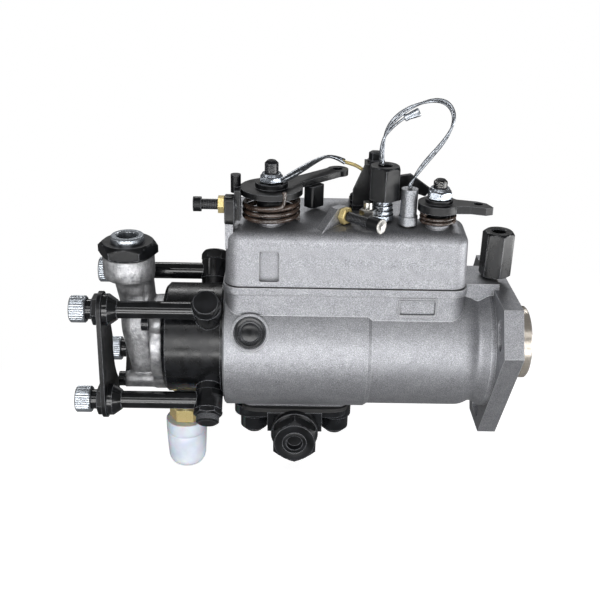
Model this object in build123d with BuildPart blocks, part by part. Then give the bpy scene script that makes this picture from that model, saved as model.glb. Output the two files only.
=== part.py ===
"""Diesel injection pump: a mechanically governed distributor pump, with every casing, shaft and lever as a piece.

Millimetres. The pump axis is X, pointing towards the drive end, and +Z is up. The origin is the centre of the
machined flange face that bolts to the engine, on the pump axis. The control levers and the timing plug are on
the -Y side. Angles about the pump axis are counted from straight up towards -Y.
"""

import os
from math import atan2, cos, degrees, radians, sin, sqrt, tan

from build123d import *

os.makedirs("parts", exist_ok=True)

# ---------------------------------------------------------------- driving dimensions
running = 0.04  # radial clearance of a shaft in its bore
seat = 0.02  # clearance of a piece that is seated and doesn't turn
clear = 0.4  # gap between pieces that move past each other

# flange and pilot
pilot_radius = 23.0
pilot_length = 15.0
flange_thickness = 11.5
flange_flat = 42.0  # distance from the axis to each of the three long flats
flange_lobe = 59.0  # distance from the axis to the end of each of the three lobes
slot_circle = 48.5
slot_width = 9.0
slot_sweep = 11.4  # degrees between the two end radii of one slot

# main housing
housing_end = -175.5  # plane of the open end that takes the hydraulic head
barrel_step = -88.5
barrel_end = -31.0
barrel_radius = 42.2  # around the cam ring
shaft_barrel_radius = 40.6  # around the governor
neck_radius = 37.8
collar_radius = 41.0
bore_radius = 33.0
bore_end = -46.0
box_left = -174.5
box_right = -30.5
box_half_width = 30.0
box_corner = 9.5
joint_height = 47.6  # top face of the housing, where the gasket lies
lip_height = 4.4
lip_proud = 0.9
well_half_width = 19.0  # opening from the governor chamber up into the cover
well_left = -168.0
well_right = -52.0
bearing_bore = 16.0
seal_bore = 19.5
drive_pad_height = 45.8

# hydraulic head
head_left = -213.0
head_radius = 34.6
head_shoulder = -177.2
head_inner_end = -151.0
rotor_radius = 10.0
outlet_x = -184.6
outlet_angles = (43.0, 128.0, -38.0, -128.0)
pipe_ring = 43.6  # distance of the delivery pipes from the axis
pipe_radius = 5.3
eye_radius = 8.6
eye_height = 12.0
banjo_flats = 15.5
banjo_head = 6.5
clamp_left = -248.6
clamp_thickness = 2.6
stub_radius_outer = 6.0
cap_radius = 8.1
cap_length = 10.5

# end plate with the transfer pump
plate_thickness = 8.0
plate_radius = 31.0
liner_radius = 17.0
transfer_rotor_radius = 11.0
transfer_offset = 2.0
transfer_length = 6.5
inlet_x = -235.0
inlet_radius = 15.6
inlet_top = 55.8
inlet_flats = 32.0
inlet_hex_height = 8.8
inlet_bore = 6.3

# cam ring and advance unit
cam_x = -131.2
cam_width = 17.0
cam_inner = 25.0
cam_lobe = 2.3
cam_lobes = 4
advance_pad_drop = 1.8  # how far the pad of the advance unit stands below the barrel
advance_bore_drop = 14.0  # from the pad down to the axis of the advance piston
advance_plate_z = -barrel_radius - advance_pad_drop
advance_z = advance_plate_z - advance_bore_drop
advance_radius = 14.5
advance_front = -19.0
advance_back = 24.0
advance_bore = 10.0
advance_cap_flats = 26.0
advance_plate_thickness = 7.0
advance_plate_ends = (-170.5, -97.0)
advance_fixing_x = (-157.8, -104.6)
advance_fixing_radius = 9.0
advance_stud_radius = 4.0
advance_stud_depth = 4.0

# control cover
gasket_thickness = 0.6
cover_wall = 4.5
cover_front_top = 81.0
deck_slope = 6.5  # degrees that the deck rises towards the back
shelf_height = 62.0
shelf_left = -62.0
shelf_front = -5.0
cover_draft = 2.0
cover_edge = 7.0

# shafts and levers
throttle_x = -147.3
throttle_y = -12.0
stop_x = -49.5
stop_y = -14.0
lever_shaft_radius = 4.5
throttle_disc = 18.3
throttle_arm = 57.0
throttle_arm_angle = 45.0
throttle_lever_z = 100.4
throttle_lever_thickness = 3.6
stop_disc = 12.2
stop_arm = 22.5
stop_lever_z = 92.4
stop_lever_thickness = 4.6
lever_nut_flats = 13.0
spring_wire = 2.9

# adjusting screws, sleeves, seal
screw_radius = 3.0
screw_head_radius = 4.3
max_screw_y = -21.0
max_screw_z = 95.6
sleeve_flats = 17.0
sleeve_length = 21.5
sleeve_x = -81.5
sleeve_y = -8.0
hanger_x = -9.6
hanger_y = -2.5
hanger_length = 28.5
hanger_stud_radius = 3.0
hanger_stud_depth = 16.0
seal_x = -67.0
seal_y = -14.0
seal_radius = 4.9
seal_height = 17.0
wire_radius = 0.65


# ---------------------------------------------------------------- frames and repeated forms
def across(x):
    """Plane square to the pump axis, its own X along +Y and its own Y along +Z."""
    return Plane((x, 0, 0), x_dir=(0, 1, 0), z_dir=(1, 0, 0))


def radial(x, angle, distance):
    """Plane that faces outwards at an angle about the pump axis."""
    turn = radians(angle)
    outward = (0, -sin(turn), cos(turn))
    return Plane((x, distance * outward[1], distance * outward[2]), x_dir=(1, 0, 0), z_dir=outward)


def hex_block(flats, height, edge=0.0):
    """Hexagonal block that stands on the XY plane, with its upper corners turned off when edge is given."""
    with BuildPart() as block:
        with BuildSketch():
            RegularPolygon(flats / 2, 6, major_radius=False)
        extrude(amount=height)
        if edge:
            chamfer(block.faces().sort_by(Axis.Z)[-1].edges(), edge)
    return block.part


def disc(radius, height, bore=0.0):
    """Round block that stands on the XY plane, with a bore when one is given."""
    with BuildPart() as block:
        with BuildSketch():
            Circle(radius)
            if bore:
                Circle(bore, mode=Mode.SUBTRACT)
        extrude(amount=height)
    return block.part


def ring_coil(radius, wire, pitch, turns):
    """Coil spring about Z that starts on the XY plane, its wire swept along the helix."""
    with BuildPart() as coil:
        with BuildLine() as path:
            Helix(pitch, pitch * turns, radius)
        with BuildSketch(Plane(path.line @ 0, z_dir=path.line % 0)):
            Circle(wire / 2)
        sweep()
    return coil.part


def placed(piece, plane):
    """A piece moved from the XY plane to another plane."""
    return piece.moved(plane.location)


def save(builder, label):
    """Names a finished piece and writes it."""
    builder.part.label = label
    export_step(builder.part, f"parts/{label}.step")


# ---------------------------------------------------------------- housing
slot_ends = [(slot_circle, lobe - slot_sweep / 2, lobe + slot_sweep / 2) for lobe in (60, 180, 300)]
flange_reach = flange_lobe / cos(radians(30)) - flange_flat * tan(radians(30))
flange_corner = degrees(atan2(flange_reach, flange_flat))
flange_corners = [
    (sqrt(flange_flat**2 + flange_reach**2), lobe + side * (60 - flange_corner))
    for lobe in (60, 180, 300)
    for side in (-1, 1)
]


def polar(distance, angle):
    """Point in a plane square to the axis, from its distance and its angle from straight up towards -Y."""
    turn = radians(angle)
    return (-distance * sin(turn), distance * cos(turn))


box_length = box_right - box_left
box_centre = (box_left + box_right) / 2
frame_centre = (-59.6, 36.0)  # blank panel on the front wall, along the axis and up
frame_size = (22.6, 10.4)
frame_rise = 0.5
plug_x = -159.0
plug_angle = 60.0
plug_radius = 9.8
plug_seat = barrel_radius + 0.6
advance_window = (-137.0, -125.4)

with BuildPart() as housing:
    with BuildSketch(Plane.XZ):
        with BuildLine():
            Polyline(
                (-flange_thickness, 0),
                (housing_end, 0),
                (housing_end, barrel_radius - 1.2),
                (housing_end + 1.2, barrel_radius),
                (barrel_step, barrel_radius),
                (barrel_step + 2.5, shaft_barrel_radius),
                (barrel_end, shaft_barrel_radius),
            )
            Spline(
                (barrel_end, shaft_barrel_radius),
                (-20.5, neck_radius),
                (-14.5, collar_radius),
                tangents=((1, 0), (0.9, 0.45)),
            )
            Polyline((-14.5, collar_radius), (-flange_thickness, collar_radius), (-flange_thickness, 0))
        make_face()
    revolve(axis=Axis.X)
    # upper box that carries the cover, blended down into the barrel
    with BuildSketch(Plane.XY):
        with Locations((box_centre, 0)):
            RectangleRounded(box_length, 2 * box_half_width, box_corner)
    extrude(amount=joint_height)
    # rim under the gasket
    with BuildSketch(Plane.XY.offset(joint_height - lip_height)):
        with Locations((box_centre, 0)):
            RectangleRounded(box_length + 2 * lip_proud, 2 * (box_half_width + lip_proud), box_corner)
    extrude(amount=lip_height)
    # drive end pad behind the flange
    with BuildSketch(Plane.XY):
        with Locations(((box_right - flange_thickness) / 2, 0)):
            Rectangle(-flange_thickness - box_right + 6, 30)
    extrude(amount=drive_pad_height)
    # mounting pad of the advance unit
    with BuildSketch(Plane.XY.offset(advance_plate_z)):
        with Locations((cam_x, 0)):
            RectangleRounded(advance_plate_ends[1] - advance_plate_ends[0] - 6, 30, 6)
    extrude(amount=-advance_plate_z)
    # three-lobed flange and pilot
    with BuildSketch(across(-flange_thickness)):
        Polygon(*[polar(*corner) for corner in flange_corners], align=None)
        for distance, first, last in slot_ends:
            for end in (first, last):
                with Locations(polar(distance, end)):
                    Circle(slot_width / 2, mode=Mode.SUBTRACT)
    extrude(amount=flange_thickness)
    with BuildSketch(across(0)):
        Circle(pilot_radius)
    extrude(amount=pilot_length)
    chamfer(housing.faces().sort_by(Axis.X)[-1].edges(), 0.8)
    # seat of the timing plug
    with BuildSketch(radial(plug_x, plug_angle, barrel_radius - 8)):
        Circle(plug_radius + 1.6)
    extrude(amount=plug_seat - barrel_radius + 8)
    # arc slots through the flange
    for distance, first, last in slot_ends:
        with BuildSketch(across(-flange_thickness)):
            with BuildLine():
                inner_r = distance - slot_width / 2
                outer_r = distance + slot_width / 2
                middle = (first + last) / 2
                ThreePointArc(polar(inner_r, first), polar(inner_r, middle), polar(inner_r, last))
                Line(polar(inner_r, last), polar(outer_r, last))
                ThreePointArc(polar(outer_r, last), polar(outer_r, middle), polar(outer_r, first))
                Line(polar(outer_r, first), polar(inner_r, first))
            make_face()
        extrude(amount=flange_thickness, mode=Mode.SUBTRACT)
    # raised frame around a sunk blank panel on the front wall
    with BuildSketch(Plane.XZ.offset(box_half_width - 0.5)):
        with Locations(frame_centre):
            RectangleRounded(frame_size[0] + 2, frame_size[1] + 2, 1.8)
    extrude(amount=0.5 + frame_rise)
    with BuildSketch(Plane.XZ.offset(box_half_width - frame_rise)):
        with Locations(frame_centre):
            RectangleRounded(*frame_size, 1.2)
    extrude(amount=3 * frame_rise, mode=Mode.SUBTRACT)
    # bores along the axis
    with BuildSketch(across(housing_end)):
        Circle(bore_radius)
    extrude(amount=bore_end - housing_end, mode=Mode.SUBTRACT)
    with BuildSketch(across(bore_end)):
        Circle(bearing_bore)
    extrude(amount=pilot_length - bore_end, mode=Mode.SUBTRACT)
    with BuildSketch(across(0)):
        Circle(seal_bore)
    extrude(amount=pilot_length, mode=Mode.SUBTRACT)
    # well from the governor chamber into the cover
    with BuildSketch(Plane.XY.offset(joint_height)):
        with Locations(((well_left + well_right) / 2, 0)):
            RectangleRounded(well_right - well_left, 2 * well_half_width, 3)
    extrude(amount=-joint_height, mode=Mode.SUBTRACT)
    # window for the cam ring's advance screw
    with BuildSketch(Plane.XY.offset(advance_plate_z)):
        with Locations((sum(advance_window) / 2, 0)):
            RectangleRounded(advance_window[1] - advance_window[0], 22, 3)
    extrude(amount=-advance_plate_z - 20, mode=Mode.SUBTRACT)
    # threads of the two advance unit studs and of the hanger stud
    with BuildSketch(Plane.XY.offset(advance_plate_z)):
        with Locations(*[(x, 0) for x in advance_fixing_x]):
            Circle(advance_stud_radius + seat)
    extrude(amount=advance_stud_depth + 0.2, mode=Mode.SUBTRACT)
    with BuildSketch(Plane.XY.offset(drive_pad_height)):
        with Locations((hanger_x, hanger_y)):
            Circle(hanger_stud_radius + seat)
    extrude(amount=-hanger_stud_depth - 0.2, mode=Mode.SUBTRACT)
    # hole behind the timing plug
    with BuildSketch(radial(plug_x, plug_angle, plug_seat - 3)):
        Circle(plug_radius + seat)
    extrude(amount=6, mode=Mode.SUBTRACT)
    with BuildSketch(radial(plug_x, plug_angle, 20)):
        Circle(plug_radius - 3)
    extrude(amount=30, mode=Mode.SUBTRACT)
save(housing, "housing")

# ---------------------------------------------------------------- drive shaft and its bearing
journal = 12.0
shaft_neck = 10.0
shaft_end = -112.0
tongue = (6.0, 16.0, 7.0)  # thickness, width and length of the driving tongue
hub_end = 12.0
hub_bore = 8.0
hub_depth = 14.0

bush = disc(bearing_bore - seat, 42, journal + running)
with BuildPart() as drive_bush:
    add(placed(bush, across(-45)))
save(drive_bush, "drive_bush")

seal_ring = disc(seal_bore - seat, 7, journal + running)
with BuildPart() as oil_seal:
    add(placed(seal_ring, across(2)))
save(oil_seal, "oil_seal")

with BuildPart() as drive_shaft:
    with BuildSketch(Plane.XZ):
        with BuildLine():
            Polyline(
                (shaft_end, 0),
                (hub_end, 0),
                (hub_end, journal - 0.8),
                (hub_end - 0.8, journal),
                (bore_end - clear, journal),
                (bore_end - clear, journal + 3),
                (bore_end - 3, journal + 3),
                (bore_end - 3, shaft_neck),
                (shaft_end, shaft_neck),
                close=True,
            )
        make_face()
    revolve(axis=Axis.X)
    with BuildSketch(across(shaft_end)):
        Rectangle(tongue[1], tongue[0])
    extrude(amount=-tongue[2])
    with BuildSketch(across(hub_end)):
        Circle(hub_bore)
    extrude(amount=-hub_depth, mode=Mode.SUBTRACT)
save(drive_shaft, "drive_shaft")

# ---------------------------------------------------------------- governor
cage_left = -95.0
cage_right = -68.0
cage_radius = 31.0
cage_wall = 2.0
cage_base = 4.0
weight_toe = 12.0
weight_inner = 15.0
weight_outer = 24.5
weight_width = 16.0
weight_length = 18.6
toe_length = 3.2
sleeve_ring = 13.0
sleeve_flange = 17.0
sleeve_right = -60.0
pivot_x = -58.0
pivot_z = 26.0
pivot_radius = 2.0
link_y = -12.0
link_z = 53.0
arm_top = 67.0
pad_top = 3.0
pad_relief = 0.9

with BuildPart() as governor_cage:
    with BuildSketch(across(cage_left)):
        Circle(cage_radius)
    extrude(amount=cage_base)
    with BuildSketch(across(cage_left)):
        Circle(cage_radius)
        Circle(cage_radius - cage_wall, mode=Mode.SUBTRACT)
    extrude(amount=cage_right - cage_left)
    # four walls that keep the weights apart
    with BuildSketch(across(cage_left)):
        with PolarLocations((cage_radius + weight_outer) / 2 - 1, 4):
            Rectangle(cage_radius - weight_outer + 2, 3)
    extrude(amount=cage_right - cage_left - 3)
    with BuildSketch(across(cage_left)):
        Circle(shaft_neck + seat)
    extrude(amount=cage_base, mode=Mode.SUBTRACT)
save(governor_cage, "governor_cage")

heel_radius = 0.8  # rounded heel on which each weight rolls, and the axis it swings about
weight_heel = cage_left + cage_base + clear
for number, angle in enumerate((45, 135, 225, 315), 1):
    with BuildPart() as weight:
        with BuildSketch(radial(0, angle + 90, -weight_width / 2)) as outline:
            Polygon(
                (weight_heel, weight_toe),
                (weight_heel + toe_length, weight_toe),
                (weight_heel + toe_length, weight_inner),
                (weight_heel + weight_length, weight_inner),
                (weight_heel + weight_length, weight_outer),
                (weight_heel, weight_outer),
                align=None,
            )
            heel_corner = outline.vertices().sort_by_distance((weight_heel, weight_outer))[0]
            fillet(heel_corner, heel_radius)
        extrude(amount=weight_width)
    save(weight, f"governor_weight_{number}")

with BuildPart() as thrust_sleeve:
    sleeve_left = weight_heel + toe_length + clear
    with BuildSketch(across(sleeve_left)):
        Circle(sleeve_ring)
    extrude(amount=sleeve_right - sleeve_left)
    with BuildSketch(across(sleeve_right)):
        Circle(sleeve_flange)
    extrude(amount=-3)
    with BuildSketch(across(sleeve_left)):
        Circle(shaft_neck + clear)
    extrude(amount=sleeve_right - sleeve_left, mode=Mode.SUBTRACT)
save(thrust_sleeve, "thrust_sleeve")

bracket_outer = well_half_width - 0.3
bracket_sheet = 1.6
with BuildPart() as governor_bracket:
    # cross plate under the gasket and two cheeks that hold the pivot pin
    with BuildSketch(Plane.XY.offset(joint_height - 2.4)):
        with Locations((pivot_x - 3, 0)):
            Rectangle(13, 2 * bracket_outer)
            Rectangle(9, 2 * 14.6, mode=Mode.SUBTRACT)
    extrude(amount=2)
    for side in (-1, 1):
        with BuildSketch(Plane.XZ.offset(-side * bracket_outer)):
            with Locations((pivot_x - 3, (20 + joint_height - 1) / 2)):
                Rectangle(13, joint_height - 21)
        extrude(amount=side * bracket_sheet)
    with BuildSketch(Plane.XZ.offset(-bracket_outer)):
        with Locations((pivot_x, pivot_z)):
            Circle(pivot_radius)
    extrude(amount=2 * bracket_outer)
save(governor_bracket, "governor_bracket")

with BuildPart() as governor_arm:
    # two legs that straddle the shaft, tied above it
    for side in (-1, 1):
        with BuildSketch(Plane.XZ.offset(-side * 16.6)):
            with Locations((pivot_x, 15)):
                Rectangle(3, 32)
            with Locations((pivot_x, pivot_z)):
                Circle(pivot_radius + 2.2)
        extrude(amount=side * 4)
    with BuildSketch(Plane.XZ.offset(-16.6)):
        with Locations((pivot_x, 34)):
            Rectangle(3, 8)
    extrude(amount=33.2)
    with BuildSketch(Plane.XZ.offset(-link_y - 2)):
        with Locations((pivot_x, (34 + arm_top) / 2)):
            Rectangle(3, arm_top - 34)
    extrude(amount=4)
    # the legs touch the sleeve only with pads at their low ends
    with BuildSketch(Plane.XZ.offset(-16.6)):
        with Locations((pivot_x - 1.5, pad_top + 9)):
            Rectangle(2 * pad_relief, 18)
    extrude(amount=33.2, mode=Mode.SUBTRACT)
    with BuildSketch(Plane.XZ.offset(-20)):
        with Locations((pivot_x, pivot_z)):
            Circle(pivot_radius + running)
    extrude(amount=40, mode=Mode.SUBTRACT)
    with BuildSketch(Plane.YZ.offset(pivot_x - 5)):
        with Locations((link_y, link_z)):
            Circle(1.5)
    extrude(amount=10, mode=Mode.SUBTRACT)
save(governor_arm, "governor_arm")

valve_x = -163.0
valve_radius = 4.0
valve_arm = 12.0
with BuildPart() as governor_link:
    with BuildSketch(Plane.YZ.offset(valve_x + 2.6)):
        with Locations((link_y, link_z)):
            Circle(1.2)
    extrude(amount=pivot_x + 4 - valve_x - 2.6)
    with BuildSketch(Plane.YZ.offset(pivot_x - 4.5)):
        with Locations((link_y, link_z)):
            Circle(2.4)
    extrude(amount=2.4)
    with BuildSketch(Plane.XY.offset(link_z - 1.2)):
        with Locations((valve_x, -valve_arm)):
            Circle(3.6)
            Circle(1.8, mode=Mode.SUBTRACT)
    extrude(amount=2.4)
save(governor_link, "governor_link")

with BuildPart() as metering_valve:
    with BuildSketch(Plane.XY.offset(rotor_radius + 3)):
        with Locations((valve_x, 0)):
            Circle(valve_radius)
    extrude(amount=34)
    with BuildSketch(Plane.XY.offset(rotor_radius + 37)):
        with Locations((valve_x, 0)):
            Circle(valve_radius + 1)
        with Locations((valve_x, -valve_arm)):
            Circle(3)
        with Locations((valve_x, -valve_arm / 2)):
            Rectangle(4, valve_arm)
    extrude(amount=3)
    with BuildSketch(Plane.XY.offset(rotor_radius + 40)):
        with Locations((valve_x, -valve_arm)):
            Circle(1.5)
    extrude(amount=6)
save(metering_valve, "metering_valve")

# ---------------------------------------------------------------- hydraulic head, rotor and cam ring
transfer_left = head_left + clear
head_recess = transfer_length + 2 * clear
outlet_seat = 38.3
bolt_shank = 4.8
with BuildPart() as hydraulic_head:
    with BuildSketch(Plane.XZ):
        with BuildLine():
            Polyline(
                (head_left, 0),
                (head_left, head_radius - 2.2),
                (head_left + 2.2, head_radius),
                (head_shoulder, head_radius),
                (head_shoulder, bore_radius - seat),
                (head_inner_end, bore_radius - seat),
                (head_inner_end, 0),
                close=True,
            )
        make_face()
    revolve(axis=Axis.X)
    # collar that closes the housing's open end
    with BuildSketch(across(head_shoulder - 0.1)):
        Circle(barrel_radius - 4.4)
    extrude(amount=housing_end - head_shoulder + 0.1)
    for angle in outlet_angles:
        with BuildSketch(radial(outlet_x, angle, head_radius - 6)):
            Circle(eye_radius - 0.4)
        extrude(amount=outlet_seat - head_radius + 6)
        with BuildSketch(radial(outlet_x, angle, 22)):
            Circle(bolt_shank + seat)
        extrude(amount=20, mode=Mode.SUBTRACT)
    # seat of the return fitting
    with BuildSketch(Plane.XY.offset(-head_radius + 1.5)):
        with Locations((-203, 0)):
            Circle(9)
    extrude(amount=-4)
    with BuildSketch(Plane.XY.offset(-22)):
        with Locations((-203, 0)):
            Circle(5 + seat)
    extrude(amount=-20, mode=Mode.SUBTRACT)
    with BuildSketch(across(head_left)):
        Circle(rotor_radius + running)
    extrude(amount=head_inner_end - head_left, mode=Mode.SUBTRACT)
    with BuildSketch(across(head_left)):
        Circle(liner_radius + seat)
    extrude(amount=head_recess, mode=Mode.SUBTRACT)
    with BuildSketch(Plane.XY.offset(rotor_radius + 1)):
        with Locations((valve_x, 0)):
            Circle(valve_radius + running)
    extrude(amount=30, mode=Mode.SUBTRACT)
save(hydraulic_head, "hydraulic_head")

pump_left = cam_x - 9.3
pump_right = cam_x + 9.3
pump_radius = 21.5
plunger_radius = 3.5
shoe_foot = 14.2
roller_circle = 19.0
roller_radius = 3.4
shoe_width = 9.0
shoe_length = 12.0
transfer_right = transfer_left + transfer_length
stub_radius = 4.0

with BuildPart() as rotor:
    with BuildSketch(across(transfer_right + clear)):
        Circle(rotor_radius)
    extrude(amount=pump_left - transfer_right - clear)
    with BuildSketch(across(transfer_left)):
        Circle(stub_radius)
    extrude(amount=transfer_length + clear)
    with BuildSketch(across(pump_left)):
        Circle(pump_radius)
    extrude(amount=pump_right - pump_left)
    with BuildSketch(across(pump_right)):
        Circle(13)
    extrude(amount=shaft_end - pump_right - clear)
    with BuildSketch(across(shaft_end)):
        Rectangle(tongue[1] + 2 * clear, tongue[0] + 0.2)
    extrude(amount=-tongue[2] - clear, mode=Mode.SUBTRACT)
    # pockets of the two shoes and the bore of the plungers
    for angle in (0, 180):
        with BuildSketch(radial(cam_x, angle, shoe_foot - 0.2)):
            Rectangle(shoe_length + 2 * clear, shoe_width + 2 * running)
        extrude(amount=pump_radius, mode=Mode.SUBTRACT)
    with BuildSketch(radial(cam_x, 0, -shoe_foot)):
        Circle(plunger_radius + running)
    extrude(amount=2 * shoe_foot, mode=Mode.SUBTRACT)
save(rotor, "rotor")

with BuildPart() as pumping_plungers:
    for angle in (0, 180):
        with BuildSketch(radial(cam_x, angle, 3)):
            Circle(plunger_radius)
        extrude(amount=shoe_foot - 3 - seat)
save(pumping_plungers, "pumping_plungers")

with BuildPart() as roller_shoes:
    for angle in (0, 180):
        with BuildSketch(radial(cam_x, angle, shoe_foot)):
            Rectangle(shoe_length, shoe_width)
        extrude(amount=roller_circle + 0.6 - shoe_foot)
        with BuildSketch(across(cam_x - shoe_length)):
            with Locations(polar(roller_circle, angle)):
                Circle(roller_radius + running)
        extrude(amount=2 * shoe_length, mode=Mode.SUBTRACT)
save(roller_shoes, "roller_shoes")

with BuildPart() as cam_rollers:
    for angle in (0, 180):
        with BuildSketch(across(cam_x - shoe_length / 2)):
            with Locations(polar(roller_circle, angle)):
                Circle(roller_radius)
        extrude(amount=shoe_length)
save(cam_rollers, "cam_rollers")

advance_rest = 4.0  # degrees that the cam ring leans back when the piston rests
cam_outer = bore_radius - 0.1
pin_radius = 3.4
ball_radius = 5.5


def cam_point(step, steps):
    """Point of the cam's inner curve, whose radius swings between the base circle and the lobe tops."""
    angle = 360 * step / steps
    lift = cam_lobe / 2 * (1 + cos(radians(cam_lobes * angle)))
    return polar(cam_inner - lift, angle + 45)


ball_y = -advance_z * sin(radians(advance_rest))
ball_z = advance_z * cos(radians(advance_rest))
with BuildPart() as cam_ring:
    with BuildSketch(across(cam_x - cam_width / 2)):
        Circle(cam_outer)
        with BuildLine(mode=Mode.PRIVATE) as curve:
            Spline(*[cam_point(step, 32) for step in range(32)], periodic=True)
        make_face(curve.line.edges(), mode=Mode.SUBTRACT)
    extrude(amount=cam_width)
    # advance screw with its ball, leaning back at rest
    with BuildSketch(Plane((cam_x, 0, 0), x_dir=(1, 0, 0), z_dir=(0, ball_y, ball_z))):
        Circle(pin_radius)
    extrude(amount=-advance_z)
    with BuildSketch(across(cam_x - cam_width / 2)):
        Circle(cam_inner + 3)
    extrude(amount=cam_width, mode=Mode.SUBTRACT)
    with BuildSketch(across(cam_x - cam_width / 2)):
        Circle(cam_outer)
        with BuildLine(mode=Mode.PRIVATE) as curve:
            Spline(*[cam_point(step, 32) for step in range(32)], periodic=True)
        make_face(curve.line.edges(), mode=Mode.SUBTRACT)
    extrude(amount=cam_width)
    with Locations((cam_x, ball_y, ball_z)):
        Sphere(ball_radius)
save(cam_ring, "cam_ring")

# ---------------------------------------------------------------- advance unit under the housing
piston_length = 22.0
piston_pocket = 4.0
piston_y = ball_y
unit_top = advance_plate_z - 0.3
unit_low = advance_plate_z - advance_plate_thickness
unit_length = advance_plate_ends[1] - advance_plate_ends[0]
unit_centre = (advance_plate_ends[0] + advance_plate_ends[1]) / 2
bore_back = advance_back - 3.5
cap_collar = 5.4

with BuildPart() as advance_housing:
    with BuildSketch(Plane.XY.offset(unit_top)):
        with Locations((unit_centre, 0)):
            RectangleRounded(unit_length, 27, 10)
    extrude(amount=unit_low - unit_top)
    with BuildSketch(Plane.XZ.offset(-advance_back)):
        with Locations((cam_x, advance_z)):
            Circle(advance_radius)
        with Locations((cam_x, (advance_z + unit_top) / 2)):
            Rectangle(2 * advance_radius + 6, unit_top - advance_z)
        with Locations((cam_x, unit_top + 5)):
            Rectangle(40, 10, mode=Mode.SUBTRACT)
    extrude(amount=advance_back - advance_front)
    for x in advance_fixing_x:
        with BuildSketch(Plane.XY.offset(unit_top)):
            with Locations((x, 0)):
                Circle(advance_fixing_radius + 1.5)
        extrude(amount=unit_low - unit_top - 3)
        with BuildSketch(Plane.XY.offset(unit_top)):
            with Locations((x, 0)):
                Circle(advance_stud_radius + seat)
        extrude(amount=unit_low - unit_top - 3, mode=Mode.SUBTRACT)
    with BuildSketch(Plane.XZ.offset(-bore_back)):
        with Locations((cam_x, advance_z)):
            Circle(advance_bore)
    extrude(amount=bore_back - advance_front, mode=Mode.SUBTRACT)
    with BuildSketch(Plane.XY.offset(unit_top)):
        with Locations((cam_x, 0)):
            RectangleRounded(advance_window[1] - advance_window[0], 22, 3)
    extrude(amount=advance_z - unit_top, mode=Mode.SUBTRACT)
save(advance_housing, "advance_housing")

with BuildPart() as advance_piston:
    with BuildSketch(Plane.XZ.offset(-piston_y - piston_length / 2)):
        with Locations((cam_x, advance_z)):
            Circle(advance_bore - running)
    extrude(amount=piston_length)
    with BuildSketch(Plane.XY.offset(advance_z + advance_bore)):
        with Locations((cam_x, piston_y)):
            Circle(ball_radius + clear)
    extrude(amount=-advance_bore - ball_radius - 1, mode=Mode.SUBTRACT)
    with BuildSketch(Plane.XZ.offset(piston_length / 2 - piston_y)):
        with Locations((cam_x, advance_z)):
            Circle(8)
    extrude(amount=-piston_pocket, mode=Mode.SUBTRACT)
save(advance_piston, "advance_piston")

cap_spigot = 1.0
spring_start = advance_front + cap_spigot + 1.2
spring_space = piston_y - piston_length / 2 + piston_pocket - 1.2 - spring_start
advance_coil = ring_coil(6.2, 1.8, spring_space / 4, 4)
cap_hex = hex_block(advance_cap_flats, 8.5, 0.9)
cap_front = Plane((cam_x, advance_front - cap_collar, advance_z), x_dir=(0, 0, 1), z_dir=(0, -1, 0))
with BuildPart() as advance_cap:
    add(placed(cap_hex, cap_front))
    with BuildSketch(cap_front):
        Circle(advance_radius - 0.6)
    extrude(amount=-cap_collar + 0.3)
    with BuildSketch(cap_front):
        Circle(advance_bore - seat)
    extrude(amount=-cap_collar - cap_spigot)
    with BuildSketch(cap_front.offset(8.5)):
        RegularPolygon(4.6, 6, major_radius=False)
    extrude(amount=-4, mode=Mode.SUBTRACT)
save(advance_cap, "advance_cap")

dome_top = unit_low - 3
with BuildPart() as advance_cap_nuts:
    for x in advance_fixing_x:
        with BuildSketch(Plane.XY.offset(dome_top - 0.05)):
            with Locations((x, 0)):
                Circle(advance_fixing_radius)
        extrude(amount=-13)
        with BuildSketch(Plane.XY.offset(dome_top - 2)):
            with Locations((x, 0)):
                Circle(advance_stud_radius)
        extrude(amount=advance_plate_z + advance_stud_depth - dome_top + 2)
    chamfer(advance_cap_nuts.faces().filter_by(Axis.Z).group_by(Axis.Z)[0].edges(), 3.4)
save(advance_cap_nuts, "advance_cap_nuts")

# ---------------------------------------------------------------- transfer pump and end plate
with BuildPart() as transfer_liner:
    with BuildSketch(across(transfer_left)):
        Circle(liner_radius)
        with Locations((0, transfer_offset)):
            Circle(transfer_rotor_radius + transfer_offset + 0.1, mode=Mode.SUBTRACT)
    extrude(amount=transfer_length)
save(transfer_liner, "transfer_liner")

blade_thickness = 2.0
blade_foot = 5.6
with BuildPart() as transfer_rotor:
    with BuildSketch(across(transfer_left)):
        Circle(transfer_rotor_radius)
        Circle(stub_radius + seat, mode=Mode.SUBTRACT)
        for angle in (45, 135, 225, 315):
            with Locations(Location(polar((blade_foot + 12) / 2, angle), angle)):
                Rectangle(blade_thickness + 2 * running, 12 - blade_foot, mode=Mode.SUBTRACT)
    extrude(amount=transfer_length)
save(transfer_rotor, "transfer_rotor")

with BuildPart() as transfer_blades:
    for angle in (45, 135, 225, 315):
        with BuildSketch(across(transfer_left + 0.1)):
            with Locations(Location(polar((blade_foot + transfer_rotor_radius) / 2, angle), angle)):
                Rectangle(blade_thickness, transfer_rotor_radius - blade_foot - 0.2)
        extrude(amount=transfer_length - 0.2)
save(transfer_blades, "transfer_blades")

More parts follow.
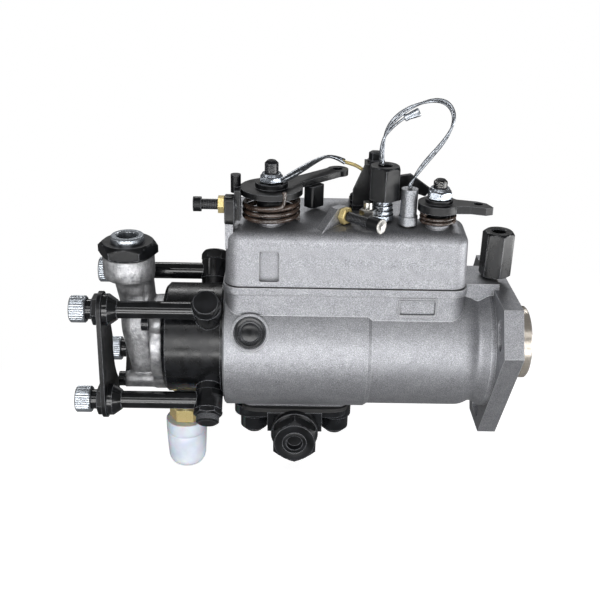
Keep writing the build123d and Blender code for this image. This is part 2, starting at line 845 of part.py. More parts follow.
plate_left = head_left - plate_thickness
screw_ring = 28.6
plate_screw_angles = (168.0, 48.0, -72.0)
lug_radius = 5.3
lug_left = -240.0
boss_low = 41.0
piston_bore = 5.0
with BuildPart() as end_plate:
    with BuildSketch(across(plate_left)):
        Circle(plate_radius - 4)
    extrude(amount=plate_thickness - 0.05)
    for angle in plate_screw_angles:
        with BuildSketch(across(plate_left)):
            with Locations(polar(screw_ring, angle)):
                Circle(lug_radius + 0.6)
        extrude(amount=plate_thickness - 0.05)
    # tapered body that rises to the inlet
    with BuildSketch(Plane.XY.offset(boss_low)):
        with Locations((inlet_x, 0)):
            Circle(inlet_radius)
    with BuildSketch(Plane.XY.offset(14)):
        with Locations((-231, 0)):
            RectangleRounded(24, 25, 9)
    with BuildSketch(Plane.XY.offset(-22)):
        with Locations((-228.5, 0)):
            RectangleRounded(16, 16, 5)
    loft()
    with BuildSketch(Plane.XY.offset(boss_low)):
        with Locations((inlet_x, 0)):
            Circle(inlet_radius)
    extrude(amount=inlet_top - boss_low)
    # foot of the lower screw
    with BuildSketch(across(lug_left)):
        with Locations(polar(screw_ring, plate_screw_angles[0])):
            Circle(lug_radius)
    extrude(amount=plate_left - lug_left)
    with BuildSketch(across(-233)):
        with Locations((-2, -22)):
            Rectangle(9, 14)
    extrude(amount=plate_left + 233)
    for angle in plate_screw_angles:
        with BuildSketch(across(lug_left)):
            with Locations(polar(screw_ring, angle)):
                Circle(3 + seat)
        extrude(amount=head_left - lug_left, mode=Mode.SUBTRACT)
    for angle in plate_screw_angles[1:]:
        with BuildSketch(across(plate_left)):
            with Locations(polar(screw_ring, angle)):
                Circle(5.2)
        extrude(amount=-30, mode=Mode.SUBTRACT)
    # inlet thread, and the bore of the regulating piston below it
    with BuildSketch(Plane.XY.offset(inlet_top)):
        with Locations((inlet_x, 0)):
            Circle(10 + seat)
    extrude(amount=-14, mode=Mode.SUBTRACT)
    with BuildSketch(Plane.XY.offset(inlet_top - 14)):
        with Locations((-232, 0)):
            Circle(piston_bore + running)
    extrude(amount=-42, mode=Mode.SUBTRACT)
save(end_plate, "end_plate")

with BuildPart() as end_plate_screws:
    for number, angle in enumerate(plate_screw_angles):
        seat_x = lug_left if number == 0 else plate_left
        with BuildSketch(across(seat_x)):
            with Locations(polar(screw_ring, angle)):
                Circle(4.7)
        extrude(amount=-4.4)
        with BuildSketch(across(seat_x)):
            with Locations(polar(screw_ring, angle)):
                Circle(3)
        extrude(amount=head_left - 0.1 - seat_x)
        with BuildSketch(across(seat_x - 4.4)):
            with Locations(polar(screw_ring, angle)):
                RegularPolygon(2.2, 6, major_radius=False)
        extrude(amount=2.4, mode=Mode.SUBTRACT)
save(end_plate_screws, "end_plate_screws")

with BuildPart() as regulating_piston:
    with BuildSketch(Plane.XY.offset(4)):
        with Locations((-232, 0)):
            Circle(piston_bore)
    extrude(amount=14)
    with BuildSketch(Plane.XY.offset(18)):
        with Locations((-232, 0)):
            Circle(2.2)
    extrude(amount=5)
save(regulating_piston, "regulating_piston")

regulating_coil = ring_coil(3.6, 0.9, 3.4, 6.9)
with BuildPart() as regulating_spring:
    add(placed(regulating_coil, Plane((-232, 0, 18.6))))
save(regulating_spring, "regulating_spring")

adaptor_hex = hex_block(inlet_flats, inlet_hex_height, 1.4)
hex_turn = Location((0, 0, 0), (0, 0, 10))
with BuildPart() as inlet_adaptor:
    add(placed(adaptor_hex.moved(hex_turn), Plane((inlet_x, 0, inlet_top))))
    with BuildSketch(Plane.XY.offset(inlet_top)):
        with Locations((inlet_x, 0)):
            Circle(10)
    extrude(amount=-13)
    with BuildSketch(Plane.XY.offset(inlet_top + inlet_hex_height)):
        with Locations((inlet_x, 0)):
            Circle(10.4 + seat)
    extrude(amount=-5, mode=Mode.SUBTRACT)
    with BuildSketch(Plane.XY.offset(inlet_top + inlet_hex_height)):
        with Locations((inlet_x, 0)):
            Circle(inlet_bore)
    extrude(amount=-18, mode=Mode.SUBTRACT)
save(inlet_adaptor, "inlet_adaptor")

with BuildPart() as inlet_ring:
    with BuildSketch(Plane.XY.offset(inlet_top + inlet_hex_height - 5)):
        with Locations((inlet_x, 0)):
            Circle(10.4)
            Circle(inlet_bore, mode=Mode.SUBTRACT)
    extrude(amount=8.8)
    chamfer(inlet_ring.faces().sort_by(Axis.Z)[-1].edges(), 0.8)
save(inlet_ring, "inlet_ring")

# ---------------------------------------------------------------- delivery pipes
rear_step = 6.4  # the rear pair of pipes is this much shorter
stub_length = 14.4  # thread that stands out to the left of the clamp plate
pipe_steps = dict(zip(outlet_angles, (0, 0, rear_step, rear_step)))
eye_top = outlet_seat + eye_height
with BuildPart() as delivery_pipes:
    for angle in outlet_angles:
        eye_base = radial(outlet_x, angle, outlet_seat + 0.05)
        centre = polar(pipe_ring, angle)
        plate = clamp_left + pipe_steps[angle]
        collar = plate + clamp_thickness + 0.3
        tip = plate - stub_length
        with BuildSketch(eye_base):
            Circle(eye_radius)
        extrude(amount=eye_height - 0.05)
        with BuildSketch(across(collar + 8)):
            with Locations(centre):
                Circle(pipe_radius)
        extrude(amount=outlet_x - collar - 8)
        with BuildSketch(across(collar + 3)):
            with Locations(centre):
                Circle(9.6)
        with BuildSketch(across(collar + 8)):
            with Locations(centre):
                Circle(pipe_radius + 0.8)
        loft()
        with BuildSketch(across(collar)):
            with Locations(centre):
                Circle(9.6)
        extrude(amount=3)
        with BuildSketch(across(tip)):
            with Locations(centre):
                Circle(stub_radius_outer)
        extrude(amount=collar - tip)
        with BuildSketch(across(tip)):
            with Locations(centre):
                Circle(1.6)
        extrude(amount=outlet_x - tip, mode=Mode.SUBTRACT)
        with BuildSketch(eye_base.offset(-2)):
            Circle(bolt_shank + seat)
        extrude(amount=eye_height + 4, mode=Mode.SUBTRACT)
save(delivery_pipes, "delivery_pipes")

bolt_hex = hex_block(banjo_flats, banjo_head, 0.9)
bolt_rod = disc(bolt_shank, eye_top - 24)
with BuildPart() as banjo_bolts:
    for angle in outlet_angles:
        add(placed(bolt_hex, radial(outlet_x, angle, eye_top + 0.05)))
        add(placed(bolt_rod, radial(outlet_x, angle, 24.05)))
save(banjo_bolts, "banjo_bolts")

plate_opening = (24.7, -4.0, 36.5)  # centre and radius of the hollow side of each clamp plate
lobe_radius = 11.0
heel = (4.0, -34.0, 5.0)  # centre and radius of the plate's lower inner corner
with BuildPart() as clamp_plates:
    for side, angles in ((1, outlet_angles[:2]), (-1, outlet_angles[2:])):
        with BuildSketch(across(clamp_left + pipe_steps[angles[0]])):
            for angle in angles:
                with Locations(polar(pipe_ring, angle)):
                    Circle(lobe_radius)
            with Locations((-side * heel[0], heel[1])):
                Circle(heel[2])
            make_hull()
            with Locations((side * plate_opening[0], plate_opening[1])):
                Circle(plate_opening[2], mode=Mode.SUBTRACT)
            for angle in angles:
                with Locations(polar(pipe_ring, angle)):
                    Circle(lobe_radius)
                    Circle(stub_radius_outer + 0.3, mode=Mode.SUBTRACT)
        extrude(amount=clamp_thickness)
save(clamp_plates, "clamp_plates")

pipe_nut = hex_block(16.5, 3.6, 0.5)
with BuildPart() as pipe_nuts:
    for angle in outlet_angles:
        centre = polar(pipe_ring, angle)
        face = clamp_left + pipe_steps[angle] - 0.1
        add(placed(pipe_nut, Plane((face, *centre), x_dir=(0, 1, 0), z_dir=(-1, 0, 0))))
        with BuildSketch(across(face - 4)):
            with Locations(centre):
                Circle(stub_radius_outer + seat)
        extrude(amount=4, mode=Mode.SUBTRACT)
save(pipe_nuts, "pipe_nuts")

with BuildPart() as pipe_caps:
    for angle in outlet_angles:
        centre = polar(pipe_ring, angle)
        left = clamp_left + pipe_steps[angle] - stub_length - 2.6
        with BuildSketch(across(left)):
            with Locations(centre):
                Circle(cap_radius)
        extrude(amount=cap_length - 0.8)
        with BuildSketch(across(left + 2.4)):
            with Locations(centre):
                Circle(stub_radius_outer + seat)
        extrude(amount=cap_length, mode=Mode.SUBTRACT)
save(pipe_caps, "pipe_caps")

# ---------------------------------------------------------------- return fitting
return_x = -203.0
with BuildPart() as return_stub:
    with BuildSketch(Plane.XY.offset(-24)):
        with Locations((return_x, 0)):
            Circle(5)
    extrude(amount=-16)
    with BuildSketch(Plane.XY.offset(-37.2)):
        with Locations((return_x, 0)):
            Circle(6.6)
    extrude(amount=-31)
    with BuildSketch(Plane.XY.offset(-24)):
        with Locations((return_x, 0)):
            Circle(2.5)
    extrude(amount=-60, mode=Mode.SUBTRACT)
save(return_stub, "return_stub")

return_hex = hex_block(19, 9, 0.8)
with BuildPart() as return_nut:
    add(placed(return_hex, Plane((return_x, 0, -50), x_dir=(1, 0, 0), z_dir=(0, 0, -1))))
    with BuildSketch(Plane.XY.offset(-45)):
        with Locations((return_x, 0)):
            Circle(6.6 + seat)
    extrude(amount=-20, mode=Mode.SUBTRACT)
save(return_nut, "return_nut")

with BuildPart() as return_cap:
    with BuildSketch(Plane.XZ):
        with BuildLine():
            Polyline(
                (return_x, -94),
                (return_x + 8.5, -94),
                (return_x + 12.2, -91),
                (return_x + 12.7, -86),
                (return_x + 13.2, -70),
                (return_x + 12.6, -69),
                (return_x + 13.3, -68),
                (return_x + 13.3, -59.4),
                (return_x + 7.4, -59.4),
                (return_x + 7.4, -90),
                (return_x, -90),
                close=True,
            )
        make_face()
    revolve(axis=Axis((return_x, 0, 0), (0, 0, 1)))
save(return_cap, "return_cap")

with BuildPart() as timing_plug:
    with BuildSketch(radial(plug_x, plug_angle, plug_seat - 3)):
        Circle(plug_radius)
    extrude(amount=3.3)
    with BuildSketch(radial(plug_x, plug_angle, plug_seat + 0.3)):
        RegularPolygon(5, 6, major_radius=False)
    extrude(amount=-2.2, mode=Mode.SUBTRACT)
save(timing_plug, "timing_plug")

# ---------------------------------------------------------------- control cover
cover_base = joint_height + gasket_thickness
with BuildPart() as cover_gasket:
    with BuildSketch(Plane.XY.offset(joint_height)):
        with Locations((box_centre, 0)):
            RectangleRounded(box_length, 2 * box_half_width, box_corner)
            RectangleRounded(box_length - 2 * cover_wall - 1, 2 * (box_half_width - 2 * cover_wall), 4, mode=Mode.SUBTRACT)
    extrude(amount=gasket_thickness)
save(cover_gasket, "cover_gasket")

deck_front = -26.0  # where the deck begins behind its rounded front edge
deck = Plane((0, deck_front, cover_front_top), x_dir=(1, 0, 0), z_dir=(0, -sin(radians(deck_slope)), cos(radians(deck_slope))))


def deck_height(y):
    """Height of the sloping deck at a distance behind the pump axis."""
    return cover_front_top + (y - deck_front) * tan(radians(deck_slope))


idle_axis = Plane((-106, -11.3, 87.4), x_dir=(0.685, 0.729, 0), z_dir=(0.729, -0.685, 0))
throttle_boss = (8.2, 97.6)  # radius and top of the boss inside each lever spring
stop_boss = (7.0, 91.8)
with BuildPart() as control_cover:
    with BuildSketch(Plane.XY.offset(cover_base)):
        with Locations((box_centre, 0)):
            RectangleRounded(box_length - 0.4, 2 * box_half_width, box_corner)
    extrude(amount=50, taper=cover_draft)
    split(bisect_by=deck, keep=Keep.BOTTOM)
    top_face = control_cover.faces().filter_by(lambda f: f.normal_at().Z > 0.9).sort_by(Axis.Z)[-1]
    fillet(top_face.edges(), cover_edge)
    # lower shelf behind the stop lever
    with BuildSketch(Plane.XY.offset(shelf_height)):
        with Locations(((shelf_left + 0) / 2, shelf_front + 25)):
            Rectangle(-shelf_left, 50)
    extrude(amount=60, mode=Mode.SUBTRACT)
    # hollow inside
    with BuildSketch(Plane.XY.offset(cover_base)):
        with Locations((box_centre - 3, 0)):
            RectangleRounded(box_length - 2 * cover_wall - 8, 2 * (box_half_width - cover_wall - 2), 5)
        with Locations((shelf_left - cover_wall + 30, shelf_front - cover_wall + 25)):
            Rectangle(60, 50, mode=Mode.SUBTRACT)
    extrude(amount=cover_front_top - cover_wall - 1 - cover_base, mode=Mode.SUBTRACT)
    with BuildSketch(Plane.XY.offset(cover_base)):
        with Locations((box_centre - 3, 0)):
            RectangleRounded(box_length - 2 * cover_wall - 8, 2 * (box_half_width - cover_wall - 2), 5)
    extrude(amount=shelf_height - cover_wall - cover_base, mode=Mode.SUBTRACT)
    # pocket in the front wall
    with BuildSketch(Plane.XZ.offset(box_half_width - 2.6)):
        with Locations((-148, 60.6)):
            RectangleRounded(11.6, 18.6, 1.2)
    extrude(amount=6, mode=Mode.SUBTRACT)
    # bosses of the two lever shafts, with the shoulder that carries each spring
    for x, y, boss in ((throttle_x, throttle_y, throttle_boss), (stop_x, stop_y, stop_boss)):
        with BuildSketch(Plane.XY.offset(cover_front_top - cover_wall - 1)):
            with Locations((x, y)):
                Circle(boss[0])
        extrude(amount=boss[1] - cover_front_top + cover_wall + 1)
    # post of the maximum speed screw
    with BuildSketch(Plane.YZ.offset(box_left + 0.8)):
        with Locations((max_screw_y, max_screw_z - 13)):
            Rectangle(8, 26)
        with Locations((max_screw_y, max_screw_z)):
            Circle(4)
    extrude(amount=4.6)
    # lug of the idling screw
    with BuildSketch(idle_axis.offset(-4)):
        Polygon((-21, -9), (14, -9), (6, 1), (2.5, 4.8), (-4.5, 4.8), align=None)
    extrude(amount=5.5)
    with BuildSketch(Plane.YZ.offset(box_left)):
        with Locations((max_screw_y, max_screw_z)):
            Circle(screw_radius + seat)
    extrude(amount=8, mode=Mode.SUBTRACT)
    with BuildSketch(idle_axis.offset(-10)):
        Circle(screw_radius + seat)
    extrude(amount=20, mode=Mode.SUBTRACT)
    for x, y in ((throttle_x, throttle_y), (stop_x, stop_y)):
        with BuildSketch(Plane.XY.offset(cover_base)):
            with Locations((x, y)):
                Circle(lever_shaft_radius + running)
        extrude(amount=60, mode=Mode.SUBTRACT)
    for x, y in ((sleeve_x, sleeve_y), (seal_x, seal_y), (-90.5, -12.5), (-94, 13)):
        with BuildSketch(Plane.XY.offset(cover_front_top - cover_wall - 4)):
            with Locations((x, y)):
                Circle(3 + seat)
        extrude(amount=30, mode=Mode.SUBTRACT)
save(control_cover, "control_cover")

# ---------------------------------------------------------------- throttle shaft and lever
throttle_nut_z = 107.2
with BuildPart() as throttle_shaft:
    with BuildSketch(Plane.XY.offset(60)):
        with Locations((throttle_x, throttle_y)):
            Circle(lever_shaft_radius)
    extrude(amount=throttle_lever_z - 60)
    with BuildSketch(Plane.XY.offset(60)):
        with Locations((throttle_x, throttle_y)):
            Circle(4)
    extrude(amount=119.7 - 60)
    chamfer(throttle_shaft.faces().sort_by(Axis.Z)[-1].edges(), 1.6)
    # inner arm that pulls the governor spring
    with BuildSketch(Plane.XY.offset(60)):
        with Locations((throttle_x, throttle_y)):
            Circle(6.5)
        with Locations((throttle_x + 7, throttle_y)):
            Rectangle(14, 6)
        with Locations((throttle_x + 14, throttle_y)):
            Circle(3)
    extrude(amount=3)
save(throttle_shaft, "throttle_shaft")

arm_turn = throttle_arm_angle
arm_end = (throttle_x + throttle_arm * cos(radians(arm_turn)), throttle_y + throttle_arm * sin(radians(arm_turn)))
arm_middle = ((throttle_x + arm_end[0]) / 2, (throttle_y + arm_end[1]) / 2)
lever_eye = 3.1
stop_block_low = 87.2
with BuildPart() as throttle_lever:
    with BuildSketch(Plane.XY.offset(throttle_lever_z)):
        with Locations((throttle_x, throttle_y)):
            Circle(throttle_disc)
        with Locations(Location(arm_middle, arm_turn)):
            Rectangle(throttle_arm, 11)
        with Locations(arm_end):
            Circle(6.6)
        with Locations((throttle_x - 15, throttle_y)):
            Rectangle(13, 9)
    extrude(amount=throttle_lever_thickness)
    # hub and the upright pin on the short tongue
    with BuildSketch(Plane.XY.offset(throttle_lever_z)):
        with Locations((throttle_x, throttle_y)):
            Circle(9.5)
    extrude(amount=throttle_nut_z - 0.1 - throttle_lever_z)
    with BuildSketch(Plane.XY.offset(throttle_lever_z)):
        with Locations((throttle_x - 20.7, throttle_y)):
            Circle(3)
    extrude(amount=10.6)
    # stop block under the arm and the tab that meets the maximum speed screw
    with BuildSketch(Plane.XY.offset(stop_block_low)):
        with Locations(Location((-122.0, 5.2), arm_turn)):
            RectangleRounded(11, 8, 2)
    extrude(amount=throttle_lever_z - stop_block_low)
    with BuildSketch(Plane.XY.offset(86)):
        with Locations((-166.7, -16.4)):
            Rectangle(3.6, 11)
    extrude(amount=throttle_lever_z + throttle_lever_thickness - 86)
    with BuildSketch(Plane.XY.offset(throttle_lever_z - 1)):
        with Locations((throttle_x, throttle_y)):
            Circle(4 + seat)
        with Locations(arm_end):
            Circle(lever_eye)
    extrude(amount=20, mode=Mode.SUBTRACT)
save(throttle_lever, "throttle_lever")

throttle_hex = hex_block(lever_nut_flats, 5.1, 0.8)
with BuildPart() as throttle_nut:
    add(placed(throttle_hex, Plane((throttle_x, throttle_y, throttle_nut_z))))
    with BuildSketch(Plane.XY.offset(throttle_nut_z)):
        with Locations((throttle_x, throttle_y)):
            Circle(4 + seat)
    extrude(amount=10, mode=Mode.SUBTRACT)
save(throttle_nut, "throttle_nut")

throttle_coil = ring_coil(15.6, spring_wire, 3.5, 3.4)
governor_coil = ring_coil(1.7, 0.8, 3.6, 17.4)
with BuildPart() as advance_spring:
    add(placed(advance_coil, Plane((cam_x, spring_start, advance_z), x_dir=(1, 0, 0), z_dir=(0, 1, 0))))
save(advance_spring, "advance_spring")

# ---------------------------------------------------------------- stop shaft and lever
stop_nut_z = 99.4
with BuildPart() as stop_shaft:
    with BuildSketch(Plane.XY.offset(58)):
        with Locations((stop_x, stop_y)):
            Circle(lever_shaft_radius)
    extrude(amount=stop_lever_z - 58)
    with BuildSketch(Plane.XY.offset(58)):
        with Locations((stop_x, stop_y)):
            Circle(4)
    extrude(amount=110.8 - 58)
    chamfer(stop_shaft.faces().sort_by(Axis.Z)[-1].edges(), 1.4)
save(stop_shaft, "stop_shaft")

stop_eye = (-26.9, -16.4)
with BuildPart() as stop_lever:
    with BuildSketch(Plane.XY.offset(stop_lever_z)):
        with Locations((stop_x, stop_y)):
            Circle(stop_disc)
        Polygon(
            (stop_x, stop_y + 8.5),
            (stop_eye[0], stop_eye[1] + 4.6),
            (stop_eye[0] + 5, stop_eye[1] + 1),
            (-19.4, -22.6),
            (-23.6, -24.4),
            (stop_eye[0] - 5, stop_eye[1] - 5.4),
            (stop_x, stop_y - 8.5),
            align=None,
        )
    extrude(amount=stop_lever_thickness)
    with BuildSketch(Plane.XY.offset(stop_lever_z)):
        with Locations((stop_x, stop_y)):
            Circle(8)
    extrude(amount=stop_nut_z - 0.1 - stop_lever_z)
    with BuildSketch(Plane.XY.offset(stop_lever_z - 1)):
        with Locations((stop_x, stop_y)):
            Circle(4 + seat)
        with Locations(stop_eye):
            Circle(2.6)
    extrude(amount=20, mode=Mode.SUBTRACT)
save(stop_lever, "stop_lever")

stop_hex = hex_block(lever_nut_flats, 6.5, 0.8)
with BuildPart() as stop_nut:
    add(placed(stop_hex, Plane((stop_x, stop_y, stop_nut_z))))
    with BuildSketch(Plane.XY.offset(stop_nut_z)):
        with Locations((stop_x, stop_y)):
            Circle(4 + seat)
    extrude(amount=10, mode=Mode.SUBTRACT)
save(stop_nut, "stop_nut")

stop_coil = ring_coil(9.8, 2, 2.3, 2.6)
with BuildPart() as lever_springs:
    add(placed(throttle_coil, Plane((throttle_x, throttle_y, 85.2))))
    add(placed(stop_coil, Plane((stop_x, stop_y, 84.8))))
    # governor spring between the inner arm of the throttle shaft and the governor arm
    add(placed(governor_coil, Plane((throttle_x + 20, link_y, 64), x_dir=(0, 1, 0), z_dir=(1, 0, 0))))
save(lever_springs, "lever_springs")

# ---------------------------------------------------------------- adjusting screws
screw_tip = -168.8
max_axis = Plane((0, max_screw_y, max_screw_z), x_dir=(0, 1, 0), z_dir=(1, 0, 0))
max_nut = hex_block(9, 3.8, 0.5)
with BuildPart() as adjusting_screws:
    with BuildSketch(max_axis.offset(-188)):
        Circle(screw_radius)
    extrude(amount=188 + screw_tip)
    with BuildSketch(max_axis.offset(-191.9)):
        Circle(screw_head_radius)
    extrude(amount=4.6)
    with BuildSketch(idle_axis.offset(-6)):
        Circle(screw_radius)
    extrude(amount=28)
    with BuildSketch(idle_axis.offset(21.5)):
        Circle(screw_head_radius)
    extrude(amount=8.5)
save(adjusting_screws, "adjusting_screws")

with BuildPart() as screw_locknuts:
    add(placed(max_nut, max_axis.offset(box_left - 3.1)))
    with BuildSketch(max_axis.offset(box_left - 3.2)):
        Circle(screw_radius + seat)
    extrude(amount=5, mode=Mode.SUBTRACT)
    add(placed(max_nut, idle_axis.offset(1.6)))
    with BuildSketch(idle_axis.offset(1)):
        Circle(screw_radius + seat)
    extrude(amount=6, mode=Mode.SUBTRACT)
save(screw_locknuts, "screw_locknuts")

# ---------------------------------------------------------------- studs, hexagonal sleeves, seal
stud_foot = cover_front_top - cover_wall - 3
cover_hex = hex_block(9, 8, 0.6)
with BuildPart() as studs:
    for x, y, foot, top in (
        (sleeve_x, sleeve_y, stud_foot, 103),
        (seal_x, seal_y, stud_foot, 90),
        (-90.5, -12.5, stud_foot, 95.9),
        (hanger_x, hanger_y, drive_pad_height - hanger_stud_depth, drive_pad_height + hanger_stud_depth),
    ):
        with BuildSketch(Plane.XY.offset(foot)):
            with Locations((x, y)):
                Circle(hanger_stud_radius)
        extrude(amount=top - foot)
    # nut on the short stud and the stepped foot of the sleeve's stud
    add(placed(cover_hex, Plane((-90.5, -12.5, deck_height(-12) + 1))))
    with BuildSketch(Plane.XY.offset(deck_height(sleeve_y) + 1)):
        with Locations((sleeve_x, sleeve_y)):
            Circle(4.6)
    extrude(amount=96.2 - deck_height(sleeve_y) - 1)
save(studs, "studs")

long_sleeve = hex_block(sleeve_flats, 20.4, 0.9)
hanger_hex = hex_block(sleeve_flats, hanger_length, 0.9)
edge_turn = Location((0, 0, 0), (0, 0, 30))
hanger_turn = Location((0, 0, 0), (0, 0, 38))
with BuildPart() as hex_sleeves:
    add(placed(long_sleeve.moved(edge_turn), Plane((sleeve_x, sleeve_y, 96.3))))
    add(placed(hanger_hex.moved(hanger_turn), Plane((hanger_x, hanger_y, drive_pad_height + 1.4))))
    with BuildSketch(Plane.XY.offset(drive_pad_height)):
        with Locations((hanger_x, hanger_y), (sleeve_x, sleeve_y)):
            Circle(3 + seat)
    extrude(amount=58, mode=Mode.SUBTRACT)
    with BuildSketch(Plane.XY.offset(drive_pad_height + hanger_length + 1.4)):
        with Locations((hanger_x, hanger_y)):
            Circle(4.2)
    extrude(amount=-12, mode=Mode.SUBTRACT)
    with BuildSketch(Plane.XY.offset(116.7)):
        with Locations((sleeve_x, sleeve_y)):
            Circle(4.2)
    extrude(amount=-7, mode=Mode.SUBTRACT)
save(hex_sleeves, "hex_sleeves")

with BuildPart() as lead_seal:
    with BuildSketch(Plane.XY.offset(deck_height(seal_y) + 1)):
        with Locations((seal_x, seal_y)):
            Circle(seal_radius + 0.7)
    extrude(amount=5.2)
    with BuildSketch(Plane.XY.offset(deck_height(seal_y) + 6)):
        with Locations((seal_x, seal_y)):
            Circle(seal_radius)
    extrude(amount=seal_height - 0.6)
    with BuildSketch(Plane.XY.offset(deck_height(seal_y))):
        with Locations((seal_x, seal_y)):
            Circle(3 + seat)
    extrude(amount=9, mode=Mode.SUBTRACT)
save(lead_seal, "lead_seal")

# upright sheet bracket behind the seal sleeve: foot with its nut, plate, folded top with a bolt
bracket_x = -94.0
bracket_y = 13.0
bracket_front = 5.0
bracket_sheet_thickness = 3.0
bracket_top = 113.4
bolt_x = -85.6
foot_top = deck_height(bracket_y) + 3.4
bracket_nut = hex_block(10, 5, 0.6)
bracket_bolt = hex_block(7, 5, 0.6)
with BuildPart() as rear_bracket:
    with BuildSketch(deck.offset(0.1)):
        with Locations((bracket_x, bracket_y - deck_front)):
            RectangleRounded(12, 15, 2)
    extrude(amount=3.3)
    with BuildSketch(Plane.XZ.offset(-bracket_front - bracket_sheet_thickness)):
        with BuildLine():
            Polyline(
                (-98.6, deck_height(bracket_front) + 1),
                (-98.6, 97),
                (-91.8, bracket_top),
                (-79, bracket_top),
                (-72, 106.4),
                (-64.3, 107.7),
                (-51.6, 98.7),
                (-54.9, 94.2),
                (-62, 96.6),
                (-70.8, 91),
                (-82, 91),
                (-88, deck_height(bracket_front) + 1),
                close=True,
            )
        make_face()
    extrude(amount=bracket_sheet_thickness)
    with BuildSketch(Plane.XY.offset(bracket_top)):
        with Locations((bolt_x, (bracket_front + 17) / 2)):
            Rectangle(12, 17 - bracket_front)
    extrude(amount=-3)
    with BuildSketch(Plane.XY.offset(bracket_top - 8)):
        with Locations((bolt_x, bracket_y - 1.4)):
            Circle(2.5)
    extrude(amount=10)
    with BuildSketch(Plane.XY.offset(bracket_top)):
        with Locations((bolt_x, bracket_y - 1.4)):
            Circle(4.7)
    extrude(amount=1.4)
    add(placed(bracket_bolt, Plane((bolt_x, bracket_y - 1.4, bracket_top + 1.3))))
    with BuildSketch(Plane.XY.offset(78)):
        with Locations((bracket_x, bracket_y)):
            Circle(3)
    extrude(amount=foot_top + 7 - 78)
    add(placed(bracket_nut, Plane((bracket_x, bracket_y, foot_top - 0.6))))
save(rear_bracket, "rear_bracket")


def cord(builder_points, bends, radius):
    """Round wire that runs straight between its points and turns each corner on an arc."""
    with BuildPart() as wire:
        with BuildLine() as path:
            FilletPolyline(*builder_points, radius=bends)
        with BuildSketch(Plane(path.line @ 0, z_dir=path.line % 0)):
            Circle(radius)
        sweep(transition=Transition.ROUND)
    return wire.part


def cord_bends(points):
    """Arc radii that the corners of a wire take: 0.45 of the shorter run over the tangent of half the turn."""
    bends = []
    for before, corner, after in zip(points, points[1:], points[2:]):
        run_in = Vector(*corner) - Vector(*before)
        run_out = Vector(*after) - Vector(*corner)
        half_turn = radians(run_in.get_angle(run_out) / 2)
        bends.append(0.45 * min(run_in.length, run_out.length) / tan(half_turn))
    return bends


seal_route = [
    (-83.6, -9.5, 117.4),
    (-87.0, -11, 139.0),
    (-71.0, -11, 155.6),
    (-48.0, -11, 157.0),
    (-42.6, -11, 139.0),
    (-66.0, -11.6, 111.0),
    (-67.0, -13.6, 105.2),
]
seal_bends = cord_bends(seal_route)
print("seal_wire bend radii", [round(bend, 2) for bend in seal_bends])
wire_loop = cord(seal_route, seal_bends, wire_radius)
with BuildPart() as seal_wire:
    add(wire_loop)
save(seal_wire, "seal_wire")

lever_route = [
    (-141.0, -17.0, 109.0),
    (-133.0, -4.0, 112.0),
    (-118.6, 29.6, 110.6),
    (-103.0, 38.6, 106.0),
]
lever_bends = cord_bends(lever_route)
print("throttle_wire bend radii", [round(bend, 2) for bend in lever_bends])
lever_wire = cord(lever_route, lever_bends, 1.0)
with BuildPart() as throttle_wire:
    add(lever_wire)
save(throttle_wire, "throttle_wire")
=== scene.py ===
# %% [markdown]
# A diesel injection pump stands on a pale studio floor. Its solids come from CAD: a bead-blasted
# aluminium housing and control cover, a black hydraulic head with four delivery pipes, levers, screws and
# a sealed wire. Blender gives each of them the finish that its making leaves, and adds the wires and the
# fine forms.

import math

import bpy
import numpy as np
from mathutils import Matrix, Vector


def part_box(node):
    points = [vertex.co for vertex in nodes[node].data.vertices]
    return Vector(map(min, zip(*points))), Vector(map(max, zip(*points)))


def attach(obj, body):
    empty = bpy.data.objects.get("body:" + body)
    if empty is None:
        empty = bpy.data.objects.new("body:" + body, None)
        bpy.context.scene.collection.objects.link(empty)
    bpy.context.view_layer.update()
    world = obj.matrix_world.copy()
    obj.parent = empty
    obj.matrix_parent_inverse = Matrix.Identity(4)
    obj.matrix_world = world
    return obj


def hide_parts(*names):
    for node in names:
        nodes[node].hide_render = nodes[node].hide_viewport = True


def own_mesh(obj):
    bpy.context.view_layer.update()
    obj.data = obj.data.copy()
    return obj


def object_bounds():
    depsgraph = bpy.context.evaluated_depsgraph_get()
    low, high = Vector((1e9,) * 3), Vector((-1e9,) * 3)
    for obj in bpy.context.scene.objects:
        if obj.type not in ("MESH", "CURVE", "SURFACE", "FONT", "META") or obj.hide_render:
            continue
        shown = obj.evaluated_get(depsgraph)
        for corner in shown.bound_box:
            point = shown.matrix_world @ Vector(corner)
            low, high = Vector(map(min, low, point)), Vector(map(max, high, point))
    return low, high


MM = 0.001  # metres in a millimetre
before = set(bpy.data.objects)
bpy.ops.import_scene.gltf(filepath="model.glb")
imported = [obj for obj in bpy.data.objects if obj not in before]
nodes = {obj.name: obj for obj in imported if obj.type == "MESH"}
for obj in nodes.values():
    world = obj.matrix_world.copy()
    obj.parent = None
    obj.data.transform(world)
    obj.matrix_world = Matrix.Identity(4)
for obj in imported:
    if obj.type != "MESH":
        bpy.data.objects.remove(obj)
cad_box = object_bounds()
print("nodes", len(nodes), "box", cad_box)

# %% [markdown]
# Colours are written as the hex values that a colour picker shows. Blender's shaders want linear light,
# so one function converts them. One small function adds a shader node, sets what the dictionary names and
# links its inputs.


# %% Colour and node helpers
def linear(code):
    """Linear light from sRGB hex: c / 12.92 below 0.04045, else ((c + 0.055) / 1.055)^2.4, per channel."""
    values = [int(code[i : i + 2], 16) / 255 for i in (0, 2, 4)]
    return [v / 12.92 if v <= 0.04045 else ((v + 0.055) / 1.055) ** 2.4 for v in values] + [1.0]


def entry(made, name):
    """Input socket of a node by name or number; a Mix node has one A and B for each kind of data."""
    if made.bl_idname == "ShaderNodeMix" and made.data_type == "RGBA" and name in ("A", "B"):
        return made.inputs[6 if name == "A" else 7]
    return made.inputs[name]


